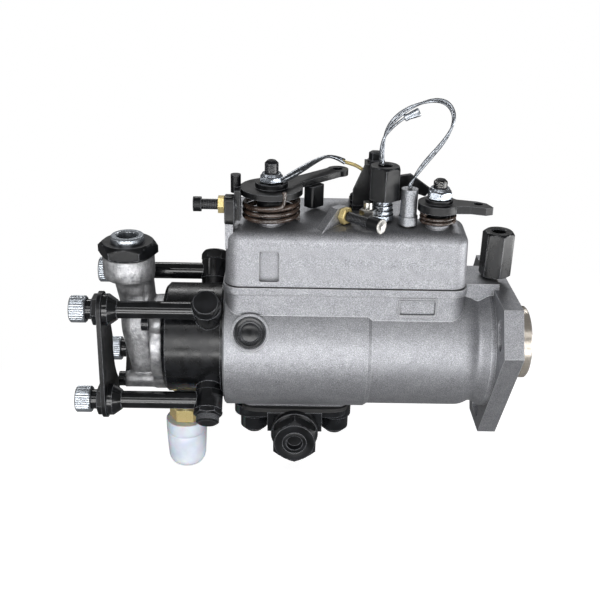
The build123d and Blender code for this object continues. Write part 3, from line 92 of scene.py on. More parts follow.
def node(tree, kind, settings=None, links=None):
    """Adds one shader node, sets attributes or input values by name, and links inputs to other sockets."""
    made = tree.nodes.new(kind)
    for name, value in (settings or {}).items():
        if isinstance(name, str) and hasattr(made, name):
            setattr(made, name, value)
        else:
            entry(made, name).default_value = value
    for name, socket in (links or {}).items():
        tree.links.new(socket, entry(made, name))
    return made


def metal(name, settings):
    """New material with a Principled shader whose constant inputs are set from a dictionary."""
    material = bpy.data.materials.new(name)
    material.use_nodes = True
    shader = material.node_tree.nodes["Principled BSDF"]
    for key, value in settings.items():
        shader.inputs[key].default_value = value
    return material, material.node_tree, shader


def ramp(tree, factor, stops):
    """Colour ramp through (position, hex colour) stops."""
    made = node(tree, "ShaderNodeValToRGB", links={"Fac": factor})
    points = made.color_ramp.elements
    while len(points) < len(stops):
        points.new(0.5)
    for point, (place, code) in zip(points, stops):
        point.position = place
        point.color = linear(code)
    return made.outputs["Color"]


def pattern(tree, millimetres, detail=2.0, kind="ShaderNodeTexNoise"):
    """Noise or Voronoi pattern on Object coordinates whose grain has that size in millimetres."""
    place = node(tree, "ShaderNodeTexCoord").outputs["Object"]
    settings = {"Scale": 1 / (millimetres * MM)}
    if kind == "ShaderNodeTexNoise":
        settings["Detail"] = detail
    return node(tree, kind, settings, {"Vector": place})


# %% [markdown]
# Two things make a part look made rather than drawn. A real edge is never quite sharp, so a Bevel node
# rounds it in the shading. And the colour carries painted light: painted shade darkens it where the surface
# is closed in from the sky, in corners and between parts, and a painted highlight lightens it along the
# rounded edges.


# %% Painted shade in corners and painted highlights on edges
def bumped(tree, shader, height, distance, strength, soften):
    """Bump of a distance in millimetres from a height pattern, over edges softened by some millimetres."""
    edge = node(tree, "ShaderNodeBevel", {"samples": 4, "Radius": soften * MM})
    bump = node(
        tree,
        "ShaderNodeBump",
        {"Strength": strength, "Distance": distance * MM},
        {"Height": height, "Normal": edge.outputs["Normal"]},
    )
    tree.links.new(bump.outputs["Normal"], shader.inputs["Normal"])
    return edge


def mixed(tree, factor, first, second):
    """Mix of two colours by a factor; the first is a socket, the second a socket or a hex colour."""
    settings, links = {"data_type": "RGBA"}, {"Factor": factor, "A": first}
    if isinstance(second, str):
        settings["B"] = linear(second)
    else:
        links["B"] = second
    return node(tree, "ShaderNodeMix", settings, links).outputs[2]


def painted_shade_and_edge_highlight(tree, shader, colour, edge, dark, bright, reach, amount):
    """Colour with painted shade where surfaces meet within a reach in millimetres, and a painted highlight
    along edges.
    """
    # Painted shade: ambient occlusion darkens the colour where surfaces meet or close in.
    open_sky = node(tree, "ShaderNodeAmbientOcclusion", {"samples": 6, "Distance": reach * MM})
    depth = node(
        tree, "ShaderNodeMapRange", {1: 0.25, 2: 0.85, 3: amount, 4: 0.0}, {0: open_sky.outputs["AO"]}
    )
    painted_shade_colour = mixed(tree, depth.outputs[0], colour, dark)
    flat = node(tree, "ShaderNodeNewGeometry").outputs["Normal"]
    turn = node(
        tree, "ShaderNodeVectorMath", {"operation": "DOT_PRODUCT"}, {0: edge.outputs["Normal"], 1: flat}
    )
    # Painted highlight: the colour lightens along edges, where the Bevel normal turns from the true normal.
    painted_highlight_mask = node(
        tree, "ShaderNodeMapRange", {1: 0.995, 2: 0.9, 3: 0.0, 4: 0.75}, {0: turn.outputs["Value"]}
    )
    tree.links.new(mixed(tree, painted_highlight_mask.outputs[0], painted_shade_colour, bright), shader.inputs["Base Color"])


# %% [markdown]
# The housing and the cover are die-cast aluminium, blasted with glass beads to an even satin grey. Blasting
# leaves craters of about a quarter of a millimetre, drawn here twice as wide so that they show, and a soft
# mottle where the grey of the skin varies. The spigot is turned after blasting, so it keeps concentric tool
# marks and a warmer shine.


# %% Bead-blasted aluminium with a turned spigot
def blasted_aluminium():
    """Satin grey: two noises mix the colour, Voronoi craters make the bump, and X > 0 is turned bright."""
    material, tree, shader = metal("bead_blasted_aluminium", {"Metallic": 0.72, "Roughness": 0.46})
    mottle = pattern(tree, 6.0, 3.0).outputs["Fac"]
    grain = pattern(tree, 0.45, 3.0).outputs["Fac"]
    both = node(tree, "ShaderNodeMath", {"operation": "MULTIPLY_ADD", 1: 0.18}, {0: mottle, 2: grain})
    blasted = ramp(tree, both.outputs[0], ((0.38, "6D6E72"), (0.6, "919296"), (0.82, "B6B7BB")))
    place = node(tree, "ShaderNodeTexCoord").outputs["Object"]
    parts = node(tree, "ShaderNodeSeparateXYZ", links={"Vector": place})
    beyond = node(
        tree, "ShaderNodeMath", {"operation": "GREATER_THAN", 1: -0.05 * MM}, {0: parts.outputs["X"]}
    ).outputs[0]
    rings = node(
        tree,
        "ShaderNodeTexWave",
        {"wave_type": "RINGS", "rings_direction": "X", "Scale": 900.0, "Distortion": 0.4},
        {"Vector": place},
    )  # tool marks a third of a millimetre apart, coarser than real ones so that they show
    turned_face = ramp(tree, rings.outputs["Fac"], ((0.0, "B3ABA0"), (1.0, "DAD4CB")))
    colour = mixed(tree, beyond, blasted, turned_face)
    rough = node(tree, "ShaderNodeMapRange", {3: 0.5, 4: 0.24}, {0: beyond})
    tree.links.new(rough.outputs[0], shader.inputs["Roughness"])
    craters = pattern(tree, 0.5, kind="ShaderNodeTexVoronoi").outputs["Distance"]
    edge = bumped(tree, shader, craters, 0.06, 0.6, 0.7)
    # Painted shade 3A3B3E in corners and a painted highlight DADBDE along edges.
    painted_shade_and_edge_highlight(tree, shader, colour, edge, "3A3B3E", "DADBDE", 3.5, 0.85)
    return material


def cast_aluminium():
    """Sand-cast alloy: coarse grains of about a millimetre and a blotchy light and dark skin."""
    material, tree, shader = metal("sand_cast_aluminium", {"Metallic": 0.75, "Roughness": 0.42})
    blotch = pattern(tree, 4.0, 5.0).outputs["Fac"]
    grains = pattern(tree, 1.1, 4.0).outputs["Fac"]
    edge = bumped(tree, shader, grains, 0.35, 0.9, 0.8)
    skin_colour = ramp(tree, blotch, ((0.3, "86878A"), (0.7, "C4C4C6")))
    # Painted shade 17181A in corners and a painted highlight D8D8DA along edges.
    painted_shade_and_edge_highlight(tree, shader, skin_colour, edge, "17181A", "D8D8DA", 5.0, 0.95)
    return material


# %% [markdown]
# The head, pipes, clamps and levers are steel with a black oxide coat, oiled. It is nearly black and
# shines softly, with faint patches, painted shade in its corners and a painted highlight along its edges.
# The gaskets are pressed sheet, and matt.


# %% Black finishes
def black_oxide(
    name="black_oxide_steel", rough=0.34, dark="0A0B0C", light="16171A", bright="85878C", shine=0.3
):
    """Oiled black steel: a slow noise moves the colour between two blacks and the roughness a little."""
    material, tree, shader = metal(name, {"Roughness": rough, "Specular IOR Level": shine})
    patches = pattern(tree, 7.0, 4.0).outputs["Fac"]
    sheen = node(
        tree, "ShaderNodeMapRange", {1: 0.3, 2: 0.7, 3: rough - 0.06, 4: rough + 0.1}, {0: patches}
    )
    tree.links.new(sheen.outputs[0], shader.inputs["Roughness"])
    fine = pattern(tree, 0.4, 3.0).outputs["Fac"]
    edge = bumped(tree, shader, fine, 0.02, 0.3, 0.6)
    coat = ramp(tree, patches, ((0.35, dark), (0.7, light)))
    # Painted shade 020203 in corners and a painted highlight in the bright colour along edges.
    painted_shade_and_edge_highlight(tree, shader, coat, edge, "020203", bright, 3.0, 0.9)
    return material


def black_gasket():
    """Black gasket sheet: matt with a fine grain."""
    material, tree, shader = metal("pressed_gasket_sheet", {"Metallic": 0.0, "Roughness": 0.7})
    grain = pattern(tree, 0.6, 3.0).outputs["Fac"]
    tree.links.new(ramp(tree, grain, ((0.3, "101010"), (0.7, "242424"))), shader.inputs["Base Color"])
    bumped(tree, shader, grain, 0.05, 0.5, 0.1)
    return material


# %% [markdown]
# Nuts and pipe caps are bright zinc-plated steel. The plate is bluish white with cloudy patches of a few
# millimetres. The locknuts and the return nut are plain brass, turned, with fine lines. The return
# union's cap is polyethylene, in which light sinks in a little way before it comes back.


# %% Bright metals and milky plastic
def zinc_plate(name="bright_zinc_plate", dark="9AA0A8", light="CBD1D8"):
    """Bright zinc: light blue-grey clouds, low roughness, faint ripples."""
    material, tree, shader = metal(name, {"Metallic": 0.9, "Roughness": 0.26})
    clouds = pattern(tree, 3.0, 4.0).outputs["Fac"]
    edge = bumped(tree, shader, pattern(tree, 0.9, 2.0).outputs["Fac"], 0.03, 0.4, 0.4)
    plate = ramp(tree, clouds, ((0.3, dark), (0.7, light)))
    # Painted shade 15171A in corners and a painted highlight F2F5F8 along edges.
    painted_shade_and_edge_highlight(tree, shader, plate, edge, "15171A", "F2F5F8", 1.6, 0.9)
    return material


def turned_metal(name, dark, light, rough=0.28, metallic=1.0):
    """Turned bar: lines across the axis come from a stretched noise, 0.4 mm apart so that they show."""
    material, tree, shader = metal(name, {"Metallic": metallic, "Roughness": rough})
    place = node(tree, "ShaderNodeTexCoord").outputs["Object"]
    stretched = node(tree, "ShaderNodeMapping", {"Scale": (2600.0, 300.0, 2600.0)}, {"Vector": place})
    lines = node(
        tree, "ShaderNodeTexNoise", {"Scale": 1.0, "Detail": 2.0}, {"Vector": stretched.outputs[0]}
    ).outputs["Fac"]
    tree.links.new(ramp(tree, lines, ((0.3, dark), (0.7, light))), shader.inputs["Base Color"])
    bumped(tree, shader, lines, 0.015, 0.5, 0.3)
    return material


def milky_plastic():
    """Low-density polyethylene: milky white, light sinks in a little way, soft gloss."""
    material, tree, shader = metal(
        "milky_polyethylene",
        {"Roughness": 0.3, "IOR": 1.5, "Subsurface Weight": 0.6, "Subsurface Scale": 4 * MM},
    )
    cloud = pattern(tree, 8.0, 2.0).outputs["Fac"]
    tree.links.new(ramp(tree, cloud, ((0.3, "C6CCD8"), (0.7, "D6DBE4"))), shader.inputs["Base Color"])
    bumped(tree, shader, pattern(tree, 2.5, 2.0).outputs["Fac"], 0.08, 0.25, 0.5)
    return material


finishes = {
    "blasted": blasted_aluminium(),
    "cast": cast_aluminium(),
    "black": black_oxide(),
    "black_barrel": black_oxide("black_oxide_turned_steel", 0.26, shine=0.36),
    "black_pipe": black_oxide("black_oxide_drawn_tube", 0.12, shine=0.6),
    "black_gloss": black_oxide("black_zinc_plate", 0.2, "0C0D0F", "181A1D", shine=0.5),
    "black_spring": black_oxide("oiled_spring_steel", 0.2, "2A211C", "4A3A31", "A08A7A", 0.9),
    "gasket": black_gasket(),
    "zinc": zinc_plate(),
    "steel": turned_metal("turned_steel", "9A9894", "D2D0CB"),
    "zinc_nut": zinc_plate("zinc_plated_nut", "7C828A", "B0B6BE"),
    "wire": zinc_plate("drawn_steel_wire", "3C3F44", "A4A9B0"),
    "brass": turned_metal("turned_brass", "CDB266", "F6E6B0", 0.3, 0.65),
    "lead": turned_metal("pressed_lead", "5C5E62", "B4B6BA", 0.45),
    "bronze": turned_metal("sintered_bronze", "7A5B36", "A5804F", 0.42),
    "white": milky_plastic(),
}
print("finishes", sorted(finishes))

# %% [markdown]
# Each CAD node takes one of these finishes. Its own material slots are filled, so its mesh stays as CAD
# made it.

# %% Finishes of the CAD nodes
wearing = {
    "blasted": ["housing", "control_cover"],
    "cast": ["end_plate"],
    "black_barrel": ["hydraulic_head"],
    "black_pipe": ["delivery_pipes"],
    "black": [
        "banjo_bolts",
        "clamp_plates",
        "pipe_nuts",
        "throttle_lever",
        "stop_lever",
        "rear_bracket",
        "inlet_adaptor",
        "adjusting_screws",
        "hex_sleeves",
    ],
    "black_gloss": [
        "advance_housing",
        "advance_cap",
        "advance_cap_nuts",
        "timing_plug",
        "end_plate_screws",
        "throttle_shaft",
        "stop_shaft",
    ],
    "black_spring": ["lever_springs", "advance_spring"],
    "gasket": ["cover_gasket", "oil_seal"],
    "zinc": ["pipe_caps", "throttle_nut", "stop_nut", "inlet_ring", "return_stub"],
    "lead": ["lead_seal"],
    "brass": ["screw_locknuts", "return_nut"],
    "bronze": ["drive_bush"],
    "white": ["return_cap"],
}
dressed = {name: finish for finish, names in wearing.items() for name in names}
for name, cad in nodes.items():
    finish = finishes[dressed.get(name, "steel")]
    if not cad.material_slots:
        cad.data.materials.append(finish)
    for slot in cad.material_slots:
        slot.material = finish
print("dressed", len(dressed), "others turned steel", sorted(set(nodes) - set(dressed)))

# %% [markdown]
# Two wires are drawn as smooth curves through their own route points. A NURBS spline of order 3 follows
# the points closely without passing through the corners, which is how a soft wire lies. The section of
# each wire is two round strands side by side, and the tilt of the points twists them round each other.


# %% Twisted wire
def strands(name, radius):
    """Closed curve for a wire's section: radius * |cos| of the angle draws two circles that touch."""
    curve = bpy.data.curves.new(name, "CURVE")
    curve.dimensions = "2D"
    turn = np.linspace(0, 2 * np.pi, 36, endpoint=False)
    neck = 0.12  # share of the radius where the two strands meet
    reach = radius * np.maximum(np.abs(np.cos(turn)), neck)
    spline = curve.splines.new("POLY")
    spline.points.add(len(turn) - 1)
    for point, r, angle in zip(spline.points, reach, turn):
        point.co = (r * math.cos(angle) * MM, r * math.sin(angle) * MM, 0.0, 1.0)
    spline.use_cyclic_u = True
    made = bpy.data.objects.new(name, curve)
    bpy.context.scene.collection.objects.link(made)
    made.hide_render = True
    return made


def wire(name, points, radius, finish, body, twist):
    """Stranded wire along a NURBS spline of millimetre points, twisted by some degrees at each of them."""
    curve = bpy.data.curves.new(name, "CURVE")
    curve.dimensions = "3D"
    curve.bevel_mode = "OBJECT"
    curve.bevel_object = strands(name + "_section", radius)
    curve.resolution_u = 32
    curve.use_fill_caps = True
    spline = curve.splines.new("NURBS")
    spline.points.add(len(points) - 1)
    for number, (point, (x, y, z)) in enumerate(zip(spline.points, points)):
        point.co = (x * MM, y * MM, z * MM, 1.0)
        point.tilt = math.radians(twist * number)
    spline.order_u = 3
    spline.use_endpoint_u = True
    made = bpy.data.objects.new(name, curve)
    bpy.context.scene.collection.objects.link(made)
    made.data.materials.append(finish)
    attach(made, body)
    return made


# %% [markdown]
# The seal's wire rises out of the black sleeve, makes one loop and ends in the lead seal, so that nobody
# can turn the screw below unnoticed. The other wire runs from the throttle nut to the back of the sleeve.

# %% Seal wire and throttle wire
seal_route = [
    (-83.6, -9.5, 117.4),
    (-85.8, -11, 134.0),
    (-73.0, -11, 151.0),
    (-49.6, -11, 157.6),
    (-41.8, -11, 141.0),
    (-66.0, -11.6, 111.0),
    (-67.0, -13.6, 105.2),
]
lever_route = [
    (-141.0, -17.0, 109.0),
    (-133.8, -4.6, 109.8),
    (-121.0, 19.0, 111.4),
    (-111.0, 33.0, 111.6),
    (-102.5, 38.4, 105.8),
]
seal_loop = wire("seal_wire_loop", seal_route, 1.5, finishes["wire"], "casing", 130.0)
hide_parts("seal_wire")
lever_loop = wire("throttle_wire_run", lever_route, 2.0, finishes["wire"], "throttle", 60.0)
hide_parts("throttle_wire")
print("wires", seal_loop.name, lever_loop.name)

# %% [markdown]
# Turned pieces are surfaces of revolution. A profile of radius and height points goes round an axis, and
# a function of the angle can press ripples into it, such as a knurl, a hexagon or a screw thread. A row
# of the grid is one turn of the profile's point, so the whole surface is worked out as one array.


# %% Turned and threaded surfaces
def axes(direction):
    """Two unit vectors across a direction, and the direction itself."""
    along = np.array(direction, float) / np.linalg.norm(direction)
    side = np.cross(along, (0.0, 0.0, 1.0) if abs(along[2]) < 0.9 else (1.0, 0.0, 0.0))
    side /= np.linalg.norm(side)
    return side, np.cross(along, side), along


def skin(name, grid, finish, body):
    """Mesh of a grid of points whose columns join up, with a face over the first row and the last."""
    rows, columns = grid.shape[:2]
    points = grid.reshape(-1, 3)
    row, column = np.meshgrid(np.arange(rows - 1), np.arange(columns), indexing="ij")
    here, after = row * columns + column, row * columns + (column + 1) % columns
    quads = np.stack([here, after, after + columns, here + columns], -1).reshape(-1, 4)
    faces = quads.tolist() + [here[0][::-1].tolist(), (here[-1] + columns).tolist()]
    mesh = bpy.data.meshes.new(name)
    mesh.from_pydata((points * MM).tolist(), [], faces)
    mesh.validate()
    made = bpy.data.objects.new(name, mesh)
    bpy.context.scene.collection.objects.link(made)
    mesh.materials.append(finish)
    mesh.shade_smooth()
    mesh.set_sharp_from_angle(angle=math.radians(35))
    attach(made, body)
    return made


def turned(name, foot, direction, profile, finish, body, columns=96, ripple=None):
    """Surface of revolution: point = foot + height * axis + radius * (side cos t + other sin t)."""
    side, other, along = axes(direction)
    turn = np.linspace(0, 2 * np.pi, columns, endpoint=False)
    radius, height = (values[:, None] for values in np.array(profile, float).T)
    swell = radius * np.ones(columns) if ripple is None else ripple(radius, height, turn)
    round_axis = np.cos(turn)[:, None] * side + np.sin(turn)[:, None] * other
    grid = np.array(foot, float) + height[..., None] * along + swell[..., None] * round_axis
    return skin(name, grid, finish, body)


pitch = 1.0  # of every screw thread here
thread_depth = 0.54 * 0.9 * pitch


def threaded(name, foot, direction, radius, length, finish, body):
    """Screw thread: the radius falls by a triangle wave of (height / pitch - turn / 360 degrees)."""
    columns, rows = 40, int(length / pitch * 8)
    height = np.linspace(0, length, rows)
    edge = np.clip(np.minimum(height, length - height) / pitch, 0, 1)

    def wave(r, h, turn):
        phase = (h / pitch - turn / (2 * np.pi)) % 1.0
        return r - thread_depth * (1 - edge[:, None] * (1 - np.abs(2 * phase - 1)))

    profile = np.stack([np.full(rows, radius), height], -1)
    return turned(name, foot, direction, profile, finish, body, columns, wave)


# %% [markdown]
# Turned pieces stand on a few upright axes, so the x and y of each axis are written once, in millimetres.
# So are the sizes of the hexagons, measured across their flats.

# %% Axes and sizes across flats
throttle_axis = (-147.3, -12.0)
stop_axis = (-49.5, -14.0)
seal_axis = (-81.5, -8.0)
hanger_axis = (-9.6, -2.5)
inlet_axis = (-235.0, 0.0)
advance_x = -131.2
nut_flats, bolt_flats, sleeve_flats, advance_flats, inlet_flats = 13.0, 15.5, 17.0, 27.0, 32.0

# %% [markdown]
# The four pipe caps are knurled zinc-plated sleeves. Their places come from the CAD caps: each solid
# stands in its own quarter round the pump axis, so the signs of y and z tell them apart.

# %% Knurled pipe caps
cap_mesh = nodes["pipe_caps"].data
cap_points = np.empty(len(cap_mesh.vertices) * 3)
cap_mesh.vertices.foreach_get("co", cap_points)
cap_points = cap_points.reshape(-1, 3) / MM
grooves, groove_depth, grip_start, grip_end = 30, 0.34, 0.4, 9.0


def knurl(r, h, turn):
    """Straight knurl: the grip's radius falls by a raised cosine of the angle, less towards its ends."""
    fade = np.clip(np.minimum(h - grip_start, grip_end - h) / 0.5, 0, 1)
    return r - groove_depth * (r > 7.0) * fade * (0.5 + 0.5 * np.cos(grooves * turn)) ** 1.5


for quarter, (y_sign, z_sign) in enumerate(((-1, 1), (1, 1), (-1, -1), (1, -1)), 1):
    own = cap_points[(np.sign(cap_points[:, 1]) == y_sign) & (np.sign(cap_points[:, 2]) == z_sign)]
    low, high = own.min(0), own.max(0)
    middle = (low + high) / 2
    outer = (high[1] - low[1]) / 2
    depth = high[0] - low[0]
    profile = [(5.9, depth), (5.9, depth - 0.01), (outer - 0.7, depth), (outer, depth - 0.7)]
    profile += [(outer, h) for h in np.linspace(depth - 0.9, 0.9, 14)]
    profile += [(outer, 0.7), (outer - 0.8, 0.0), (4.6, 0.0), (4.2, 0.5), (0.4, 0.5)]
    name, foot = f"knurled_pipe_cap_{quarter}", (low[0], middle[1], middle[2])
    turned(name, foot, (1, 0, 0), profile[::-1], finishes["zinc"], "casing", 240, knurl)
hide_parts("pipe_caps")

# %% [markdown]
# Forged hexagons are prisms whose corners a cone turns off. A surface of revolution becomes one when its
# radius may not pass the flat sides, so each point keeps the smaller of the turned radius and the reach
# of the hexagon.


# %% Hexagons
def hexed(flats, lean=0.0):
    """Ripple for a hexagon: the smaller of r and (flats / 2) / cos(angle from the nearest flat)."""

    def reach(r, h, turn):
        from_flat = (turn + math.radians(lean)) % (np.pi / 3) - np.pi / 6
        return np.minimum(r, flats / 2 / np.cos(from_flat))

    return reach


def capped(flats, start, lean=0.0):
    """The same hexagon, but only above a height; below it the surface stays round."""
    hexagon = hexed(flats, lean)
    return lambda r, h, turn: np.where(h < start, r, hexagon(r, h, turn))


def chamfered(flats, low, high, drop=1.5):
    """Profile rows of a hexagon's side from one height to another, with a cone that drops at each end."""
    corner, inner = flats / math.sqrt(3), flats / 2 * 0.94
    rise = np.linspace(0, 1, 5)
    foot = [(inner + (corner - inner) * t, low + drop * 0.6 * t) for t in rise]
    head = [(inner + (corner - inner) * t, high - drop * t) for t in rise[::-1]]
    return foot + head


# %% [markdown]
# A hollow bolt holds each delivery pipe's eye to the head. The bolts point outwards at four angles round
# the pump axis. One of them has a lower head with a ridged top.

# %% Heads of the pipe bolts
head_profile = [(0.3, 0.0)] + chamfered(bolt_flats, 0.0, 6.5, 1.9) + [(0.3, 6.5)]
ridged_profile = [(0.3, 0.0)] + chamfered(bolt_flats, 0.0, 3.4, 0.9) + [(7.0, 3.6)]
ridged_profile += [(6.6 + 0.5 * (step % 2), 3.9 + 0.45 * step) for step in range(9)]
ridged_profile += [(5.6, 8.2), (0.3, 8.2)]
outlet_x, outlet_seat = -184.6, 50.35
for number, angle in enumerate((43.0, 128.0, -38.0, -128.0), 1):
    outward = np.array([0.0, -math.sin(math.radians(angle)), math.cos(math.radians(angle))])
    foot = np.array([outlet_x, 0.0, 0.0]) + outlet_seat * outward
    shape = ridged_profile if number == 2 else head_profile
    name = f"banjo_head_{number}"
    turned(name, foot, outward, shape, finishes["black"], "casing", ripple=hexed(bolt_flats))
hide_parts("banjo_bolts")

# %% [markdown]
# Long hexagonal sleeves stand on two studs: one holds the seal's wire, the other takes the bracket by which
# the pump hangs. The fuel comes in through a wide, flat hexagon. Flanged nuts hold both levers.


# %% Sleeves, inlet hexagon and lever nuts
def sleeve_profile(height, depth):
    """Hexagonal sleeve with a blind bore from the top."""
    bored = [(4.7, height), (4.2, height - 0.5), (4.2, height - depth), (0.3, height - depth)]
    return [(0.3, 0.0)] + chamfered(sleeve_flats, 0.0, height, 1.5) + bored


up = (0, 0, 1)
seal_sleeve = turned(
    "seal_hex_sleeve",
    (*seal_axis, 96.3),
    up,
    sleeve_profile(20.4, 7.0),
    finishes["black"],
    "casing",
    ripple=hexed(sleeve_flats),
)
turned(
    "hanger_hex_sleeve",
    (*hanger_axis, 47.2),
    up,
    sleeve_profile(28.5, 12.0),
    finishes["black_barrel"],
    "casing",
    ripple=hexed(sleeve_flats, -7.5),
)
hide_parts("hex_sleeves")

inlet_profile = [(0.3, 0.0)] + chamfered(inlet_flats, 0.0, 8.8, 2.8)
inlet_profile += [(6.7, 8.8), (6.3, 8.4), (6.3, 1.0), (0.3, 1.0)]
inlet_hex = turned(
    "inlet_hexagon",
    (*inlet_axis, 55.8),
    up,
    inlet_profile,
    finishes["black"],
    "casing",
    ripple=hexed(inlet_flats, 30.0),
)
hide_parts("inlet_adaptor")

for nut, foot, height, body in (
    ("throttle_nut", (*throttle_axis, 107.2), 5.1, "throttle"),
    ("stop_nut", (*stop_axis, 99.4), 6.5, "stop"),
):
    shape = [(4.1, 0.0)] + chamfered(nut_flats, 0.0, height - 1.5, 0.9)
    shape += [(6.0, height - 1.3), (5.4, height), (4.1, height)]
    flanged = turned(nut + "_flanged", foot, up, shape, finishes["zinc_nut"], body, ripple=hexed(nut_flats))
    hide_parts(nut)
print("sleeves", sleeve_flats, "inlet", inlet_flats, "nuts", nut_flats, "mm across flats")

# %% [markdown]
# The return union wears a domed plastic cap, and the timing plug is a turned disc with a raised ring
# round a sunk one. Both are plain surfaces of revolution, so a few profile points say all there is to
# say.

# %% Plastic cap and timing plug
dome_turns = np.linspace(0, 0.499 * math.pi, 14)
dome = [(12.1 * math.cos(t) ** 0.55 + 0.3, 26.4 + 8.1 * math.sin(t)) for t in dome_turns]
cap_profile = [(7.4, 0.0), (13.0, 0.0), (13.3, 0.4), (13.3, 8.0), (12.8, 8.6), (12.7, 9.6)]
cap_profile += [(13.2, 10.4), (12.9, 18.0)] + dome
down = (0, 0, -1)
return_dome = turned(
    "domed_return_cap", (-203.0, 0.0, -59.4), down, cap_profile, finishes["white"], "casing"
)
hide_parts("return_cap")

plug_lean = math.radians(60.0)
plug_way = np.array([0.0, -math.sin(plug_lean), math.cos(plug_lean)])
plug_foot = np.array([-159.0, 0.0, 0.0]) + 39.8 * plug_way
plug_profile = [(0.3, 0.0), (9.8, 0.0), (9.8, 2.9), (9.3, 3.5), (7.6, 3.5), (7.1, 3.2), (6.7, 2.0)]
plug_profile += [(5.9, 1.8), (5.5, 2.4), (5.3, 3.1), (4.8, 3.3), (0.3, 3.3)]
plug_face = turned(
    "turned_timing_plug", plug_foot, plug_way, plug_profile, finishes["black_gloss"], "casing"
)
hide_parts("timing_plug")
print("cap rows", len(cap_profile), "plug rows", len(plug_profile))

# %% [markdown]
# A flat plate with round corners is a surface of revolution too, if its ripple follows a rounded
# rectangle in place of a circle. Its profile radius then runs from 0 in the middle to 1 at the rim.


# %% Rounded plates
def slab(width, height, power=6):
    """Ripple for a rounded rectangle: r / (|cos / (width / 2)|^n + |sin / (height / 2)|^n)^(1 / n)."""

    def reach(r, h, turn):
        across, along = np.abs(np.cos(turn)) * 2 / width, np.abs(np.sin(turn)) * 2 / height
        return r / (across**power + along**power) ** (1 / power)

    return reach


# A black rounded plate covers the front face of the boss that holds the maximum-speed screw, so that face
# shows dark.
turned(
    "speed_screw_boss_black_face",
    (-174.0, -21.0, 92.6),
    (1, 0, 0),
    [(0.01, 0.0), (0.92, 0.0), (1.0, 0.5), (1.0, 5.5), (0.92, 6.0), (0.01, 6.0)],
    finishes["black"],
    "casing",
    ripple=slab(10.0, 16.5),
)

# %% [markdown]
# The advance unit hangs below the barrel. A black sheet with the gasket finish covers the pad at the
# joint as painted shade, and a turned and milled cap with a round collar closes its bore. Black guides
# inside the two lever springs keep the coils in line.

# %% Advance cap, painted-shade sheet and spring guides
advance_profile = [(0.3, 0.0), (15.2, 0.0), (15.2, 3.6), (14.8, 4.2), (13.0, 4.6), (13.0, 5.6)]
advance_profile += chamfered(advance_flats, 5.8, 14.9, 2.2) + [(8.0, 14.9), (7.6, 14.7), (7.2, 14.9)]
advance_profile += [(5.2, 14.9), (4.9, 14.4), (4.6, 10.8), (0.3, 10.8)]
advance_plug = turned(
    "advance_cap_turned",
    (advance_x, -18.0, -58.0),
    (0, -1, 0),
    advance_profile,
    finishes["black"],
    "casing",
    ripple=capped(advance_flats, 5.7, 30.0),
)
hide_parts("advance_cap")
# Painted shade: a thin black sheet lies on the pad between the barrel and the advance unit.
turned(
    "advance_joint_shade_sheet",
    (advance_x, 0.0, -44.35),
    up,
    [(0.01, 0.0), (1.0, 0.0), (1.0, 2.7), (0.01, 2.7)],
    finishes["gasket"],
    "casing",
    ripple=slab(37.0, 69.0),
)
for name, axis, radius, low, high in (
    ("throttle_spring_guide", throttle_axis, 8.4, 84.0, 97.55),
    ("stop_spring_guide", stop_axis, 7.2, 84.0, 91.7),
):
    guide = [(radius - 2, 0.0), (radius, 0.0), (radius, high - low), (radius - 2, high - low)]
    turned(name, (*axis, low), up, guide, finishes["black"], "casing", 64)
    print(name, "height", round(high - low, 2), "mm")

# %% [markdown]
# The end plate is a sand casting. Its inlet boss has a straight collar, then a waist, then spreads into
# the plate, and every corner is soft. A copy of the CAD solid has its loose triangles merged, is remeshed
# with small voxels, then smoothed, which rounds its corners, and pulled in at the waist.


# %% End plate casting
def merged_copy(name, source):
    """Copy of a CAD node whose loose triangles a Weld modifier joins at their corners."""
    made = bpy.data.objects.new(name, nodes[source].data.copy())
    bpy.context.scene.collection.objects.link(made)
    made.modifiers.new("weld", "WELD").merge_threshold = 0.01 * MM
    return made


def applied(made):
    """Puts the result of an object's modifiers into its mesh and returns that mesh."""
    before = made.data
    result = bpy.data.meshes.new_from_object(made.evaluated_get(bpy.context.evaluated_depsgraph_get()))
    made.modifiers.clear()
    made.data = result
    bpy.data.meshes.remove(before)
    return result


def cast_copy(name, source, voxel, shape):
    """Voxel remesh of a CAD node's copy, smoothed; shape moves all its points, in millimetres, at once."""
    made = merged_copy(name, source)
    remesh = made.modifiers.new("voxels", "REMESH")
    remesh.mode = "VOXEL"
    remesh.voxel_size = voxel * MM
    smooth = made.modifiers.new("smooth", "SMOOTH")
    smooth.factor = 0.5
    smooth.iterations = 6
    result = applied(made)
    points = np.empty(len(result.vertices) * 3)
    result.vertices.foreach_get("co", points)
    result.vertices.foreach_set("co", (shape(points.reshape(-1, 3) / MM) * MM).ravel())
    result.update()
    result.materials.clear()
    result.materials.append(finishes["cast"])
    result.shade_smooth()
    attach(made, "casing")
    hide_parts(source)
    print(name, "faces", len(result.polygons))


boss_x, waist_depth = -229.0, 0.26


def waisted(points):
    """Pulls the boss below its collar in to an upright axis: a share of the distance, smooth in x and z."""
    x, y, z = points.T
    fade = np.clip((42.5 - z) / 4.0, 0, 1) * np.clip((z - 2.0) / 26.0, 0, 1)
    fade = fade * fade * (3 - 2 * fade) * np.clip((-217.5 - x) / 6.0, 0, 1)
    return np.stack([x + (boss_x - x) * waist_depth * fade, y * (1 - waist_depth * fade), z], -1)


cast_copy("sand_cast_end_plate", "end_plate", 0.8, waisted)
turned(
    "inlet_collar",
    (*inlet_axis, 42.2),
    up,
    [(11.0, 0.0), (14.6, 0.0), (15.7, 0.9), (15.9, 2.0), (15.9, 12.6), (15.4, 13.4), (11.0, 13.4)],
    finishes["cast"],
    "casing",
)

